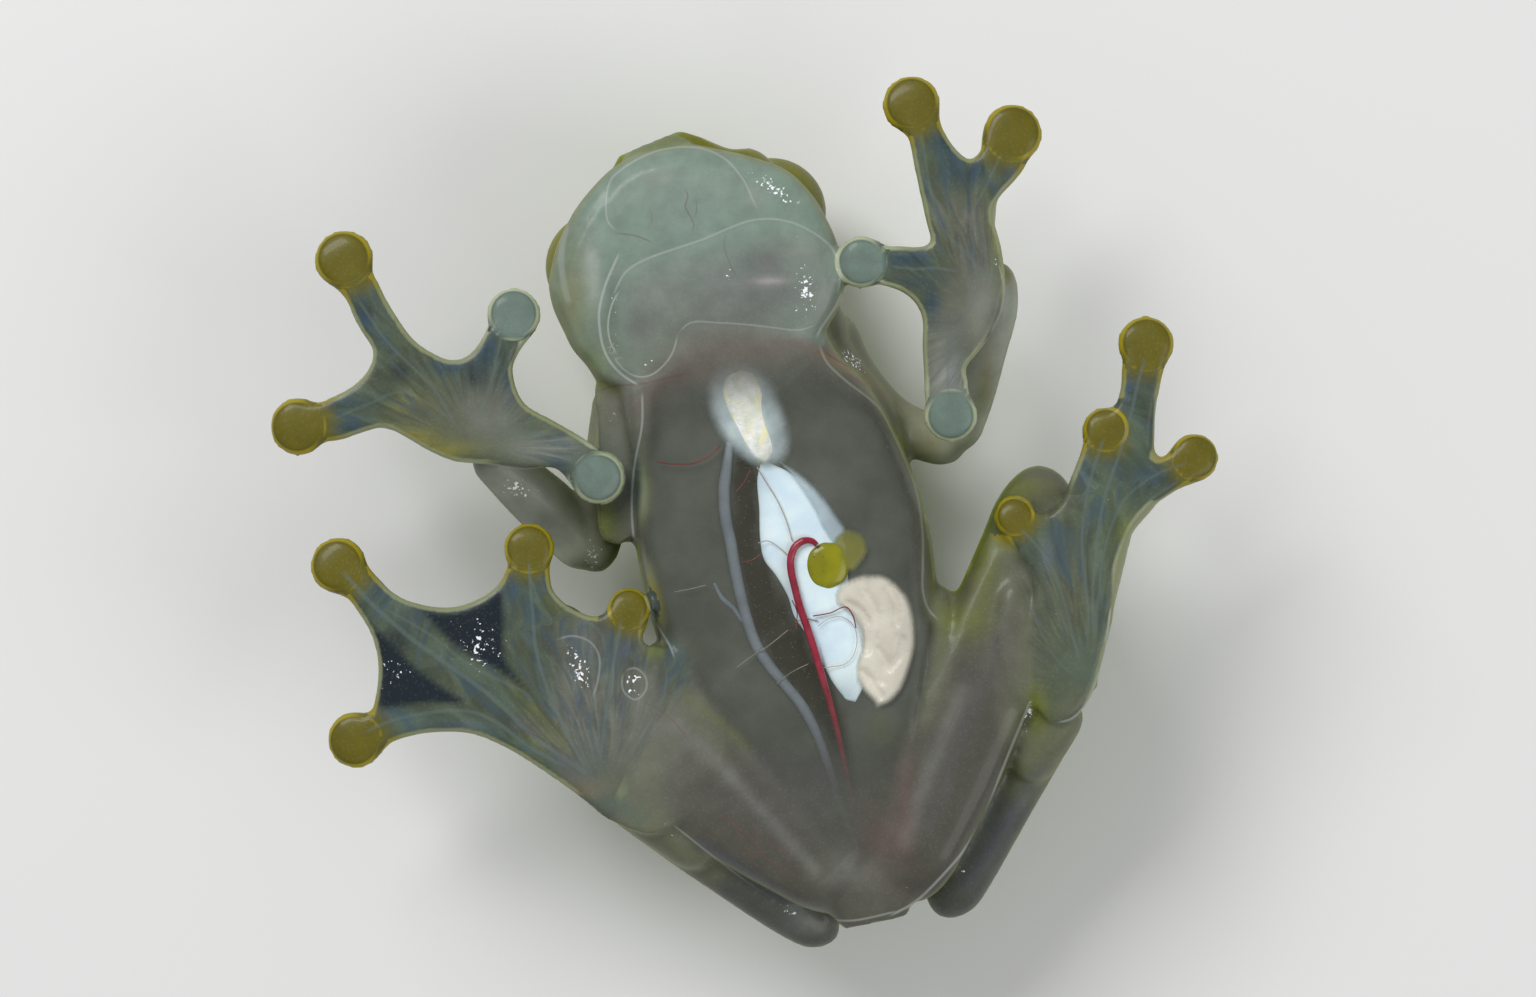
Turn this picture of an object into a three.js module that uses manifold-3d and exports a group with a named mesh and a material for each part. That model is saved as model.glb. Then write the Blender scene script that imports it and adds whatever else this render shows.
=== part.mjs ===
// A glass frog at life size, in millimetres, lying on its back with its belly, palms and soles up.
// The head points to -Y and the frog's right side is at +X. Everything that pressed on the pane the
// frog clung to lies in one level plane at the top, and the back rests on flats at z = 0.
import * as THREE from "three";
import { LoftGeometry } from "three/addons/geometries/LoftGeometry.js";
import { mergeVertices } from "three/addons/utils/BufferGeometryUtils.js";
import Module from "manifold-3d";

const wasm = await Module();
wasm.setup();

// Driving sizes
const paneHeight = 8.2; // from the floor under the back up to the plane of the belly and pads
const sliver = 0.006; // edges and slivers finer than this are drawn together where forms are joined or cut
const welds = [1, 1.7, 2.3]; // how many slivers wide each pass of drawing together is
const gap = 0.3; // left between neighbouring sub-parts
const webThickness = 0.55;
const padRadius = 0.86; // disc of an outer finger or toe
const padThickness = 0.8;
const eyeRadius = 1.4;
const lidThickness = 0.3;
const mouthDepth = 1.5; // from the chin plane to the line of the mouth
const mouthSpread = 0.07; // half width of the line, as an angle round the head
const mouthInset = 0.3; // how deep the line is cut
const nostrilRadius = 0.17;
const originX = 0.74; // middle of the whole figure in the plan coordinates used below
const originY = 0.535;

// Skin colours by region
const colours = { skin: 0x8f9a86, yellow: 0xb5ad28, pale: 0xa9b5a6, eye: 0xb08a2a, leg: 0x868c80 };

// Limbs in plan coordinates. A row is x, y, depth below the pane, half width and half height.
const right = {
  upper: [[4.35, -3.75, 3.6, 1.0, 1.0], [4.85, -1.2, 3.8, 0.86, 0.88], [5.3, 1.15, 4.1, 0.78, 0.8],
    [5.45, 2.3, 4.15, 0.62, 0.66]],
  fore: [[5.4, 2.1, 4.15, 0.66, 0.7], [6.35, 0.8, 3.8, 0.92, 0.88], [7.35, -0.2, 2.9, 0.9, 0.8],
    [8.9, -1.55, 1.6, 0.62, 0.62]],
  palm: [9.95, -2.55], heelWide: 0.62,
  fingers: [
    { base: [6.95, -1.65], mid: [6.2, -1.3], tip: [5.17, -0.63], pad: 0.8 },
    { base: [8.3, -4.05], mid: [7.98, -4.75], tip: [7.76, -5.64], pad: 0.8 },
    { base: [11.9, -5.3], mid: [12.35, -6.1], tip: [12.96, -7.32], pad: padRadius },
    { base: [12.4, -2.8], mid: [13.2, -2.45], tip: [14.36, -2.19], pad: padRadius },
  ],
  handWeb: [[11.35, -5.4], [10.85, -4.85], [10.3, -4.45], [9.75, -4.2], [9.15, -4.35], [8.75, -4.7], [7.8, -4.5],
    [7.8, -3.85], [7.65, -3.25], [7.3, -2.75], [6.5, -2.3], [6.75, -0.95], [7.4, -0.9], [8.5, -1.05],
    [9.55, -1.15], [10.3, -1.45], [11.1, -1.9], [11.7, -2.2], [12.25, -2.05], [12.6, -3.4], [12.2, -3.9],
    [12.05, -4.5], [12.45, -5.2]],
  thigh: [[-2.7, 12.3, 2.5, 1.2, 1.4], [-1.95, 11.2, 1.85, 1.65, 1.75], [1.6, 8.9, 1.75, 1.85, 1.65],
    [4.3, 6.9, 2.6, 1.65, 1.4], [6.45, 4.65, 3.25, 1.3, 1.1], [7.5, 3.45, 3.35, 1.05, 0.9]],
  shank: [[7.2, 3.9, 4.25, 0.9, 0.85], [5.9, 5.3, 4.35, 1.05, 0.95], [3.0, 8.4, 4.75, 1.15, 1.1],
    [-1.2, 12.95, 3.95, 0.8, 0.78], [-1.9, 13.4, 3.8, 0.6, 0.6]],
  tarsus: [[-2.15, 13.55, 3.3, 0.66, 0.66], [-1.22, 13.03, 3.2, 0.84, 0.8], [1.78, 11.13, 2.3, 0.78, 0.76],
    [4.7, 9.0, 1.35, 0.78, 0.72]],
  sole: [5.5, 8.05],
  toes: [
    { base: [3.75, 6.35], mid: [3.5, 5.95], tip: [3.1, 5.3], pad: 0.5 },
    { base: [4.4, 4.55], mid: [4.32, 4.1], tip: [4.25, 3.35], pad: 0.64 },
    { base: [7.3, 3.2], mid: [7.3, 2.6], tip: [7.3, 1.5], pad: 0.76 },
    { base: [12.05, 3.2], mid: [12.4, 2.75], tip: [13.14, 2.03], pad: 0.84 },
    { base: [11.3, 6.8], bend: [8.9, 6.75], mid: [11.72, 7.02], tip: [12.62, 7.38], pad: 0.84 },
  ],
  footWeb: [[11.85, 2.5], [11.5, 2.85], [11.0, 3.15], [9.75, 3.35], [8.8, 3.05], [8.1, 2.7], [6.6, 2.85],
    [6.25, 3.15], [5.7, 3.5], [5.2, 3.6], [4.95, 4.0], [3.85, 4.05], [3.7, 4.7], [3.4, 5.4], [3.4, 6.6],
    [3.65, 7.4], [4.1, 8.15], [4.5, 9.05], [4.95, 9.6], [5.5, 9.25], [6.1, 8.8], [6.7, 8.4], [7.8, 7.7],
    [8.35, 7.4], [8.9, 7.2], [9.55, 7.1], [10.35, 7.15], [11.3, 7.35], [11.95, 6.25], [11.9, 5.0], [12.1, 4.15],
    [12.4, 3.6]],
};
const left = {
  upper: [[-1.7, -5.7, 3.6, 0.95, 1.0], [-2.4, -4.05, 3.8, 0.85, 0.88], [-3.88, -2.4, 4.0, 0.78, 0.8],
    [-5.6, -1.7, 4.15, 0.72, 0.75], [-6.15, -1.55, 4.15, 0.58, 0.62]],
  fore: [[-5.75, -1.5, 4.15, 0.66, 0.7], [-6.18, -3.06, 3.6, 0.8, 0.85], [-6.6, -4.6, 2.6, 0.78, 0.8],
    [-6.95, -6.1, 1.7, 0.76, 0.66], [-6.9, -7.3, 1.3, 0.6, 0.55]],
  palm: [-5.95, -7.2], heelWide: 0.7,
  fingers: [
    { base: [-5.5, -4.75], mid: [-5.5, -3.9], tip: [-5.58, -2.52], pad: 0.8 },
    { base: [-4.35, -7.05], mid: [-3.85, -7.15], tip: [-2.84, -7.22], pad: 0.78 },
    { base: [-5.35, -10.3], mid: [-4.95, -10.95], tip: [-4.37, -12.06], pad: padRadius },
    { base: [-6.65, -10.1], mid: [-6.95, -10.5], tip: [-7.49, -11.17], pad: padRadius },
  ],
  handWeb: [[-4.4, -10.4], [-4.6, -9.55], [-4.85, -8.45], [-4.95, -7.8], [-4.1, -7.7], [-4.05, -6.4],
    [-4.45, -6.05], [-4.75, -5.5], [-4.75, -4.5], [-6.6, -4.6], [-6.85, -5.05], [-7.1, -5.7], [-7.25, -6.35],
    [-7.2, -7.1], [-7.05, -7.95], [-6.85, -8.75], [-7.1, -9.25], [-7.4, -9.6], [-6.3, -10.45], [-6.1, -10.35],
    [-5.7, -10.7]],
  thigh: [[-3.95, 12.25, 2.5, 1.2, 1.4], [-4.2, 10.8, 1.85, 1.65, 1.75], [-5.75, 7.3, 1.75, 1.8, 1.65],
    [-7.2, 3.85, 2.6, 1.65, 1.4], [-8.2, 0.8, 3.2, 1.38, 1.15], [-8.45, -1.0, 3.3, 1.1, 0.95]],
  shank: [[-8.55, -0.5, 4.2, 0.9, 0.85], [-8.35, 1.2, 4.3, 1.05, 0.95], [-7.4, 5.2, 4.75, 1.15, 1.1],
    [-6.0, 11.6, 3.95, 0.8, 0.78], [-5.6, 12.3, 3.8, 0.6, 0.6]],
  tarsus: [[-5.35, 12.95, 3.3, 0.7, 0.68], [-5.8, 12.0, 3.2, 0.92, 0.82], [-7.85, 8.62, 2.3, 0.78, 0.76],
    [-9.27, 6.1, 1.35, 0.78, 0.72]],
  sole: [-9.5, 4.9],
  toes: [
    { base: [-8.6, 3.75], mid: [-8.35, 3.3], tip: [-7.98, 2.7], pad: 0.5 },
    { base: [-8.15, 1.75], mid: [-7.85, 1.25], tip: [-7.52, 0.53], pad: 0.6 },
    { base: [-10.05, -0.6], mid: [-10.15, -1.15], tip: [-10.3, -2.12], pad: 0.68 },
    { base: [-11.35, -1.6], mid: [-11.4, -2.8], tip: [-11.55, -4.74], pad: 0.84 },
    { base: [-11.75, -0.3], bend: [-10.45, 1.4], mid: [-12.25, -0.65], tip: [-13.05, -1.27], pad: 0.72 },
  ],
  footWeb: [[-10.7, -1.8], [-9.5, -1.1], [-9.2, -0.5], [-8.95, 0.1], [-8.6, 0.5], [-7.8, 1.7], [-8.05, 2.65],
    [-8.1, 4.3], [-8.15, 5.55], [-8.4, 6.55], [-8.9, 6.85], [-9.5, 6.5], [-9.95, 5.85], [-10.25, 4.75],
    [-10.5, 3.75], [-10.6, 2.85], [-10.65, 2.05], [-10.9, 1.3], [-11.2, 0.7], [-11.85, 0.1], [-12.0, -1.15],
    [-11.7, -1.7]],
};

// A closed geometry as a solid: its vertices are welded and faces of no area dropped.
function solidOf(geometry, weld = 1e-4) {
  const bare = new THREE.BufferGeometry();
  bare.setAttribute("position", geometry.getAttribute("position"));
  bare.setIndex(geometry.index);
  const welded = mergeVertices(bare, weld);
  const faces = [];
  for (let i = 0; i < welded.index.count; i += 3) {
    const [a, b, c] = [0, 1, 2].map((k) => welded.index.array[i + k]);
    if (a !== b && b !== c && c !== a) faces.push(a, b, c);
  }
  return new wasm.Manifold(new wasm.Mesh({
    numProp: 3,
    vertProperties: Float32Array.from(welded.attributes.position.array),
    triVerts: new Uint32Array(faces),
    tolerance: sliver,
  }));
}

// A solid as a geometry.
function geometryOf(solid) {
  const { vertProperties, triVerts } = solid.getMesh();
  const geometry = new THREE.BufferGeometry();
  geometry.setAttribute("position", new THREE.BufferAttribute(vertProperties, 3));
  geometry.setIndex(new THREE.BufferAttribute(triVerts, 1));
  return geometry;
}

const joinAll = (solids) => solids.reduce((whole, next) => whole.add(next));
const largest = (solid) => solid.decompose().reduce((a, b) => (b.volume() > a.volume() ? b : a));

// A ring drawn in to its own middle, which closes an end.
function fan(ring) {
  const middle = ring.reduce((sum, p) => sum.add(p), new THREE.Vector3()).divideScalar(ring.length);
  return ring.map(() => middle);
}

// A station of a fleshy form: its place with depth, its half width and half height.
const station = ([x, y, depth], wide, high) => ({ x, y, z: paneHeight - depth, wide, high });
const limb = (rows) => rows.map(([x, y, depth, wide, high]) => station([x, y, depth], wide, high));

// The angles round a ring. A crease splits them into an upper and a lower run, with its bottom between the two.
function ringAngles(sides, crease) {
  const run = (from, to, count) => Array.from({ length: count }, (_, k) =>
    ({ angle: from + ((to - from) * k) / (count - 1), inset: 0 }));
  if (crease === undefined) return run(Math.PI / sides, 2 * Math.PI - Math.PI / sides, sides);
  const bottom = (angle) => ({ angle, inset: mouthInset });
  return [
    bottom(crease), ...run(crease + mouthSpread, Math.PI - crease - mouthSpread, sides / 2),
    bottom(Math.PI - crease), ...run(Math.PI - crease + mouthSpread, 2 * Math.PI + crease - mouthSpread, sides / 2),
  ];
}

// A fleshy form: rings of a rounded section set across a smooth line through the stations, with round ends.
// `grow` swells it all round, which makes the tool that cuts its neighbours clear of it.
// `crease` gives, for a ring's half height, the angle above its side at which a line is pressed in.
function flesh(stations, options = {}) {
  const { sides = 12, steps = 10, power = 2, blunt = 0.55, grow = 0, flatEnds = false, crease } = options;
  const line = new THREE.CatmullRomCurve3(stations.map((s) => new THREE.Vector3(s.x, s.y, s.z)));
  const sizes = new THREE.CatmullRomCurve3(stations.map((s) => new THREE.Vector3(s.wide, s.high, 0)));
  const length = line.getLength();
  const up = new THREE.Vector3(0, 0, 1);
  const rings = [];
  for (let i = 0; i <= steps; i += 1) {
    const t = i / steps;
    const eased = flatEnds ? t : 0.5 - 0.5 * Math.cos(Math.PI * t);
    const middle = line.getPoint(eased);
    const along = line.getTangent(eased);
    if (flatEnds) along.setZ(0).normalize();
    const across = new THREE.Vector3().crossVectors(up, along).normalize();
    const rise = new THREE.Vector3().crossVectors(along, across);
    const size = sizes.getPoint(eased);
    // Near an end the ring shrinks as a circle's chord does.
    const reach = Math.min(eased, 1 - eased) * length;
    const roundLength = blunt * (size.x + size.y);
    const inward = Math.max(0, 1 - reach / roundLength);
    const shrink = flatEnds ? 1 : Math.max(0.18, Math.sqrt(1 - inward * inward));
    const ends = i === 0 ? -1 : i === steps ? 1 : 0;
    middle.addScaledVector(along, ends * grow);
    const ring = [];
    for (const { angle, inset } of ringAngles(sides, crease && crease(size.y))) {
      const c = Math.cos(angle);
      const s = Math.sin(angle);
      const w = Math.sign(c) * Math.abs(c) ** (2 / power) * (size.x * shrink + grow - inset);
      const h = Math.sign(s) * Math.abs(s) ** (2 / power) * (size.y * shrink + grow - inset);
      const p = middle.clone().addScaledVector(across, w).addScaledVector(rise, h);
      if (grow === 0) p.z = Math.min(paneHeight, Math.max(0, p.z));
      ring.push(p);
    }
    rings.push(ring);
  }
  return solidOf(new LoftGeometry([fan(rings[0]), ...rings, fan(rings[steps])]));
}

// An oval ball that is flattened where it meets the pane.
function ball([x, y, z], [rx, ry, rz], { grow = 0, around = 14, up = 8 } = {}) {
  const geometry = new THREE.SphereGeometry(1, around, up);
  geometry.rotateX(Math.PI / 2);
  geometry.scale(rx + grow, ry + grow, rz + grow);
  geometry.translate(x, y, z);
  const places = geometry.attributes.position;
  if (grow === 0) for (let i = 0; i < places.count; i += 1) places.setZ(i, Math.min(paneHeight, places.getZ(i)));
  return solidOf(geometry);
}

// The thin web of a hand or foot: a smooth closed outline, level under the pane.
function web(outline, grow = 0) {
  const curve = new THREE.SplineCurve([...outline, outline[0]].map(([x, y]) => new THREE.Vector2(x, y)));
  const shape = new THREE.Shape(curve.getPoints(Math.round(outline.length * 1.6)).slice(0, -1));
  const geometry = new THREE.ExtrudeGeometry(shape, { depth: webThickness + 2 * grow, bevelEnabled: false });
  geometry.translate(0, 0, paneHeight - webThickness - grow);
  return solidOf(geometry);
}

// A finger or toe past its web: a slim stem that spreads into the disc at its tip.
function digit({ base, mid, tip, pad }, grow = 0) {
  const [dx, dy] = [tip[0] - mid[0], tip[1] - mid[1]].map((d) => d / Math.hypot(tip[0] - mid[0], tip[1] - mid[1]));
  const from = (far) => [tip[0] + dx * far, tip[1] + dy * far, padThickness / 2 + 0.02];
  const root = base.map((v, i) => v + (v - mid[i]) * 0.6);
  return flesh([
    station([...root, 0.5], 0.5, 0.47),
    station([...mid, 0.48], 0.5, 0.46),
    station(from(-pad * 0.95), 0.56, 0.42),
    station(from(-pad * 0.25), pad, padThickness / 2),
    station(from(pad * 0.35), pad, padThickness / 2),
    station(from(pad), pad * 0.85, padThickness * 0.44),
  ], { sides: 8, steps: 10, blunt: 0.62, grow });
}

function hand(arm, grow = 0) {
  const [x, y] = arm.palm;
  const wrist = station(arm.fore[arm.fore.length - 1], arm.heelWide, 0.62);
  const rays = arm.fingers.map(({ base }) =>
    flesh([station([x, y, 0.62], 0.9, 0.62), station([...base, 0.5], 0.46, 0.5)], { sides: 8, steps: 4, grow }));
  const palm = flesh([wrist, station([x, y, 0.62], 0.95, 0.66), station([x * 0.985, y * 1.1, 0.55], 0.75, 0.58)],
    { sides: 10, steps: 7, grow });
  return joinAll([palm, ...rays, web(arm.handWeb, grow)]);
}

function foot(leg, grow = 0) {
  const middle = [...leg.sole, 0.62];
  const heel = flesh([station(leg.tarsus[leg.tarsus.length - 1], 0.72, 0.72), station(middle, 0.8, 0.62)],
    { sides: 10, steps: 5, grow });
  const rays = leg.toes.map(({ base, bend }) => flesh([
    station(middle, 0.7, 0.58), ...(bend ? [station([...bend, 0.5], 0.42, 0.48)] : []),
    station([...base, 0.5], 0.42, 0.48),
  ], { sides: 8, steps: bend ? 7 : 4, grow }));
  return joinAll([heel, ...rays, web(leg.footWeb, grow)]);
}

// The neck, where head and trunk part, and the way the head points from it
const neck = [1.35, -4.1];
const headAim = new THREE.Vector3(0.28, -0.96, 0).normalize();
const headSide = new THREE.Vector3(0.96, 0.28, 0).normalize();
const alongHead = (far, aside = 0) => [
  neck[0] + headAim.x * far + headSide.x * aside, neck[1] + headAim.y * far + headSide.y * aside];

// Body: stations from the neck to the vent as place, half width, height of the back, and how far the belly
// would bulge past the pane. The back is flat on the floor in the middle of its length.
const trunk = [
  [...alongHead(-gap / 2), 3.3, 1.75, 0.2], [...alongHead(-1.1), 3.6, 0.9, 0.2], [0.25, -1.2, 4.15, -0.15, 0.25],
  [-0.4, 1.1, 4.5, -0.25, 0.25], [-0.86, 3.3, 4.42, -0.25, 0.25], [-1.25, 5.2, 4.1, -0.1, 0.25],
  [-1.75, 7.4, 3.3, 0.9, 0.2], [-2.45, 9.6, 2.6, 2.4, 0.1], [-3.0, 11.6, 1.85, 3.8, -0.4],
  [-3.3, 13.0, 1.0, 5.0, -0.9],
].map(([x, y, wide, back, bulge]) => {
  const high = (paneHeight + bulge - back) / 2;
  return station([x, y, high - bulge], wide, high);
});
const torso = (grow = 0) => flesh(trunk, { sides: 20, steps: 16, power: 2.35, grow, flatEnds: true });

// Head: distance in front of the neck, half width, half height and shift to the frog's right, forward to the snout.
const skull = [
  [0.7 * gap, 3.3, 3.25, 0], [1.2, 4.12, 3.3, 0], [2.45, 4.5, 3.3, 0.08], [3.5, 4.44, 3.2, 0.14],
  [4.6, 4.05, 2.95, 0.18], [5.3, 3.52, 2.7, 0.27], [6.0, 2.68, 2.4, 0.38], [6.65, 1.65, 2.0, 0.38],
  [7.25, 0.9, 1.5, 0.45],
].map(([far, wide, high, aside]) => station([...alongHead(far, aside), high - 0.1], wide, high));
const mouthAngle = (high) => Math.asin(Math.max(0.05, 1 - (mouthDepth + 0.1) / high) ** 1.12);
const eyeMiddle = { right: [5.48, -6.95, paneHeight - 4.75], left: [0, -8.8, paneHeight - 4.75] };
const gaze = (side) => headAim.clone().multiplyScalar(0.5)
  .addScaledVector(headSide, side === "right" ? 0.72 : -0.72)
  .add(new THREE.Vector3(0, 0, -0.42)).normalize();
const eyeBall = (side, grow = 0) => ball(
  new THREE.Vector3(...eyeMiddle[side]).addScaledVector(gaze(side), 0.2).toArray(),
  Array(3).fill(eyeRadius), { grow, around: 14, up: 8 });

function head() {
  const form = flesh(skull, { sides: 18, steps: 13, power: 2.25, flatEnds: true, crease: mouthAngle });
  const lids = ["right", "left"].map((side) => ball(
    new THREE.Vector3(...eyeMiddle[side]).addScaledVector(gaze(side), -0.32).toArray(),
    Array(3).fill(eyeRadius + lidThickness), { around: 14, up: 8 }));
  const nostrils = [-0.25, 1.1].map((aside) => ball(
    [...alongHead(7.15, aside), paneHeight - 3.1], Array(3).fill(nostrilRadius), { around: 6, up: 4 }));
  return joinAll([form, ...lids]).subtract(joinAll(nostrils));
}

function arm(side, a) {
  const upper = (grow = 0) => flesh(limb(a.upper), { sides: 10, steps: 8, grow });
  const fore = (grow = 0) => flesh(limb(a.fore), { sides: 10, steps: 9, grow });
  return [
    [`upper_arm_${side}`, upper, colours.skin],
    [`hand_${side}`, (grow) => hand(a, grow), colours.pale],
    [`forearm_${side}`, fore, colours.skin],
    ...a.fingers.map((f, i) => [`finger_${i + 1}_${side}`, (grow) => digit(f, grow),
      i < 2 ? colours.pale : colours.yellow]),
  ];
}

function leg(side, l) {
  const part = (rows, sides, steps) => (grow = 0) => flesh(limb(rows), { sides, steps, grow });
  return [
    [`foot_${side}`, (grow) => foot(l, grow), colours.pale],
    [`thigh_${side}`, part(l.thigh, 12, 11), colours.leg],
    [`tarsus_${side}`, part(l.tarsus, 10, 8), colours.leg],
    [`shank_${side}`, part(l.shank, 10, 10), colours.leg],
    ...l.toes.map((t, i) => [`toe_${i + 1}_${side}`, (grow) => digit(t, grow), colours.yellow]),
  ];
}

// Sub-parts in the order in which they keep their full form: each later one is cut clear of those before it.
const subParts = [
  ["torso", torso, colours.skin],
  ["eye_right", (grow) => eyeBall("right", grow), colours.eye],
  ["eye_left", (grow) => eyeBall("left", grow), colours.eye],
  ["head", head, colours.skin],
  ...arm("right", right), ...arm("left", left),
  ...leg("right", right), ...leg("left", left),
];

const frog = new THREE.Group();
const placed = [];
for (const [name, form, colour] of subParts) {
  let solid = form(0);
  const box = solid.boundingBox();
  for (const other of placed) {
    const near = [0, 1, 2].every((k) =>
      other.box.min[k] < box.max[k] + gap && other.box.max[k] > box.min[k] - gap);
    if (near) solid = solid.subtract(other.form(gap));
  }
  solid = largest(solid);
  for (const weld of welds) solid = largest(solidOf(geometryOf(solid), weld * sliver));
  placed.push({ form, box: solid.boundingBox() });
  const geometry = geometryOf(solid);
  geometry.computeVertexNormals();
  const material = new THREE.MeshStandardMaterial({ color: colour, roughness: 0.35, metalness: 0 });
  const mesh = new THREE.Mesh(geometry, material);
  mesh.name = name;
  frog.add(mesh);
}
frog.position.set(-originX, -originY, 0);

export default frog;
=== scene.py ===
# A glass frog at life size, lying on its back and seen from straight above its belly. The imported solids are
# the frame. One clear skin replaces them, with organs and vessels under it, and eyes of their own.
import math
import bpy
import numpy as np
from types import SimpleNamespace
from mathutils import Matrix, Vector


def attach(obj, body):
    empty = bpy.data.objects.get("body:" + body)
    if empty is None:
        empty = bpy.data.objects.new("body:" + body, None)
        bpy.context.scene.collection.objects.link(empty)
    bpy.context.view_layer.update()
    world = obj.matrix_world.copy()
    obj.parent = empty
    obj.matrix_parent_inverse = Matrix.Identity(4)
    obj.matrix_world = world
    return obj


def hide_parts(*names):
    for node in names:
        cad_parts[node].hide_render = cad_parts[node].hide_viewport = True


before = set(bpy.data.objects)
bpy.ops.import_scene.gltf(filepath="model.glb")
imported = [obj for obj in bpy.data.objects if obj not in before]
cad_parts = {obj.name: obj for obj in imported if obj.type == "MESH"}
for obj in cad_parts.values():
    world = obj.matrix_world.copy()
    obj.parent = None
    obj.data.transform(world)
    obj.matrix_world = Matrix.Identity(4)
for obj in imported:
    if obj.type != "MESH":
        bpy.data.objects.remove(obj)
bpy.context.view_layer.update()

# Everything below is worked out in millimetres and turned into metres when a mesh is made.
view = {
    "pane": 8.2,              # height of the level plane of belly, palms, soles and pads
    "rise": 195.0,            # from that plane up to the camera
    "pixel": 0.0305,          # one pixel of the photograph on that plane
    "middle": (768, 498.5),   # middle of the photograph, in its pixels
    "origin": (0.74, 0.535),  # middle of the frog in plan coordinates
    "wide": 1536,             # width of the photograph in pixels
}
pane = view["pane"]
upright = [0.0, 0.0, 1.0]


# Plan coordinates with a depth under the pane, as a place in the frame.
def place(x, y, depth):
    return [x - view["origin"][0], y - view["origin"][1], pane - depth]


# Pixels of the photograph as places in the frame: the further below the plane, the wider a pixel.
def fromPhoto(pixels, depth=0.0):
    pixels = np.asarray(pixels, float)
    depth = np.broadcast_to(np.asarray(depth, float), len(pixels))
    wide = view["pixel"] * (1 + depth / view["rise"])
    x = (view["middle"][0] - pixels[:, 0]) * wide - view["origin"][0]
    y = (pixels[:, 1] - view["middle"][1]) * wide - view["origin"][1]
    return np.stack((x, y, pane - depth), axis=1)


# Where the camera sees each place, in pixels of the photograph.
def toPhoto(points):
    wide = view["pixel"] * (1 + (pane - points[:, 2]) / view["rise"])
    return np.stack((view["middle"][0] - (points[:, 0] + view["origin"][0]) / wide,
                     view["middle"][1] + (points[:, 1] + view["origin"][1]) / wide), axis=1)


# A smooth line through rows of numbers: cubic pieces whose slope at a point is the mean of the slopes beside
# it, weighted by the other one's length. The first three columns set the lengths.
def through(points, count, closed=False):
    points = np.asarray(points, float)
    if closed:
        points = np.vstack((points[-2:], points, points[:2]))
    step = np.maximum(np.sqrt(np.linalg.norm(np.diff(points[:, :3], axis=0), axis=1)), 1e-6)
    knots = np.concatenate(([0], np.cumsum(step)))
    slope = np.diff(points, axis=0) / step[:, None]
    inner = (slope[:-1] * step[1:, None] + slope[1:] * step[:-1, None]) / (step[:-1] + step[1:])[:, None]
    tangent = np.vstack((slope[:1], inner, slope[-1:]))
    first, last = (knots[2], knots[-2]) if closed else (0, knots[-1])
    t = np.linspace(first, last, count + 1)[:-1] if closed else np.linspace(first, last, count)
    i = np.clip(np.searchsorted(knots, t, side="right") - 1, 0, len(step) - 1)
    s = ((t - knots[i]) / step[i])[:, None]
    h = step[i][:, None]
    return ((1 + 2 * s) * (1 - s) ** 2 * points[i] + s * (1 - s) ** 2 * h * tangent[i]
            + s ** 2 * (3 - 2 * s) * points[i + 1] + s ** 2 * (s - 1) * h * tangent[i + 1])


def unit(rows):
    return rows / np.maximum(np.linalg.norm(rows, axis=-1, keepdims=True), 1e-9)


# The level direction across each direction given, and the one square to both.
def crossFrame(along):
    across = unit(np.cross(upright, along))
    return across, np.cross(along, across)


# Goes smoothly from 0 to 1 while x goes from low to high.
def ease(x, low, high):
    t = np.clip((x - low) / (high - low), 0, 1)
    return t * t * (3 - 2 * t)


# A hump of height 1 and the given half width over a distance of 0.
def hump(away, half):
    return np.exp(-(away / half) ** 2)


def mixed(a, b, amount):
    return a + (b - a) * amount[:, None]


# Squares between the rings of a tube, closed round each ring, with a fan of triangles at either end.
def tubeFaces(rings, sides):
    a = np.arange(rings - 1)[:, None] * sides + np.arange(sides)[None, :]
    b = np.arange(rings - 1)[:, None] * sides + (np.arange(sides)[None, :] + 1) % sides
    quads = np.stack((a, b, b + sides, a + sides), axis=2).reshape(-1, 4)
    k = np.arange(sides)
    first = np.stack((np.full(sides, rings * sides), (k + 1) % sides, k), axis=1)
    last = np.stack((np.full(sides, rings * sides + 1), (rings - 1) * sides + k,
                     (rings - 1) * sides + (k + 1) % sides), axis=1)
    return quads.tolist() + first.tolist() + last.tolist()


# A closed tube from its rings, turned so that its faces point outwards.
def tube(rings):
    count, sides = rings.shape[:2]
    points = np.vstack((rings.reshape(-1, 3), rings[0].mean(axis=0), rings[-1].mean(axis=0)))
    faces = tubeFaces(count, sides)
    a, b, c, d = (points[[(f * 2)[k] for f in faces]] - points.mean(axis=0) for k in (0, 1, 2, -1))
    volume = np.sum(a * np.cross(b, c)) + np.sum(a * np.cross(c, d))
    return points, faces if volume > 0 else [f[::-1] for f in faces]


rounding = {
    "linePoints": 4,      # points of the middle line for each ring
    "arcPoints": 2881,    # points that a ring's even spacing is measured on
    "least": 0.12,        # the smallest ring, as a share of the full one
}


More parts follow.
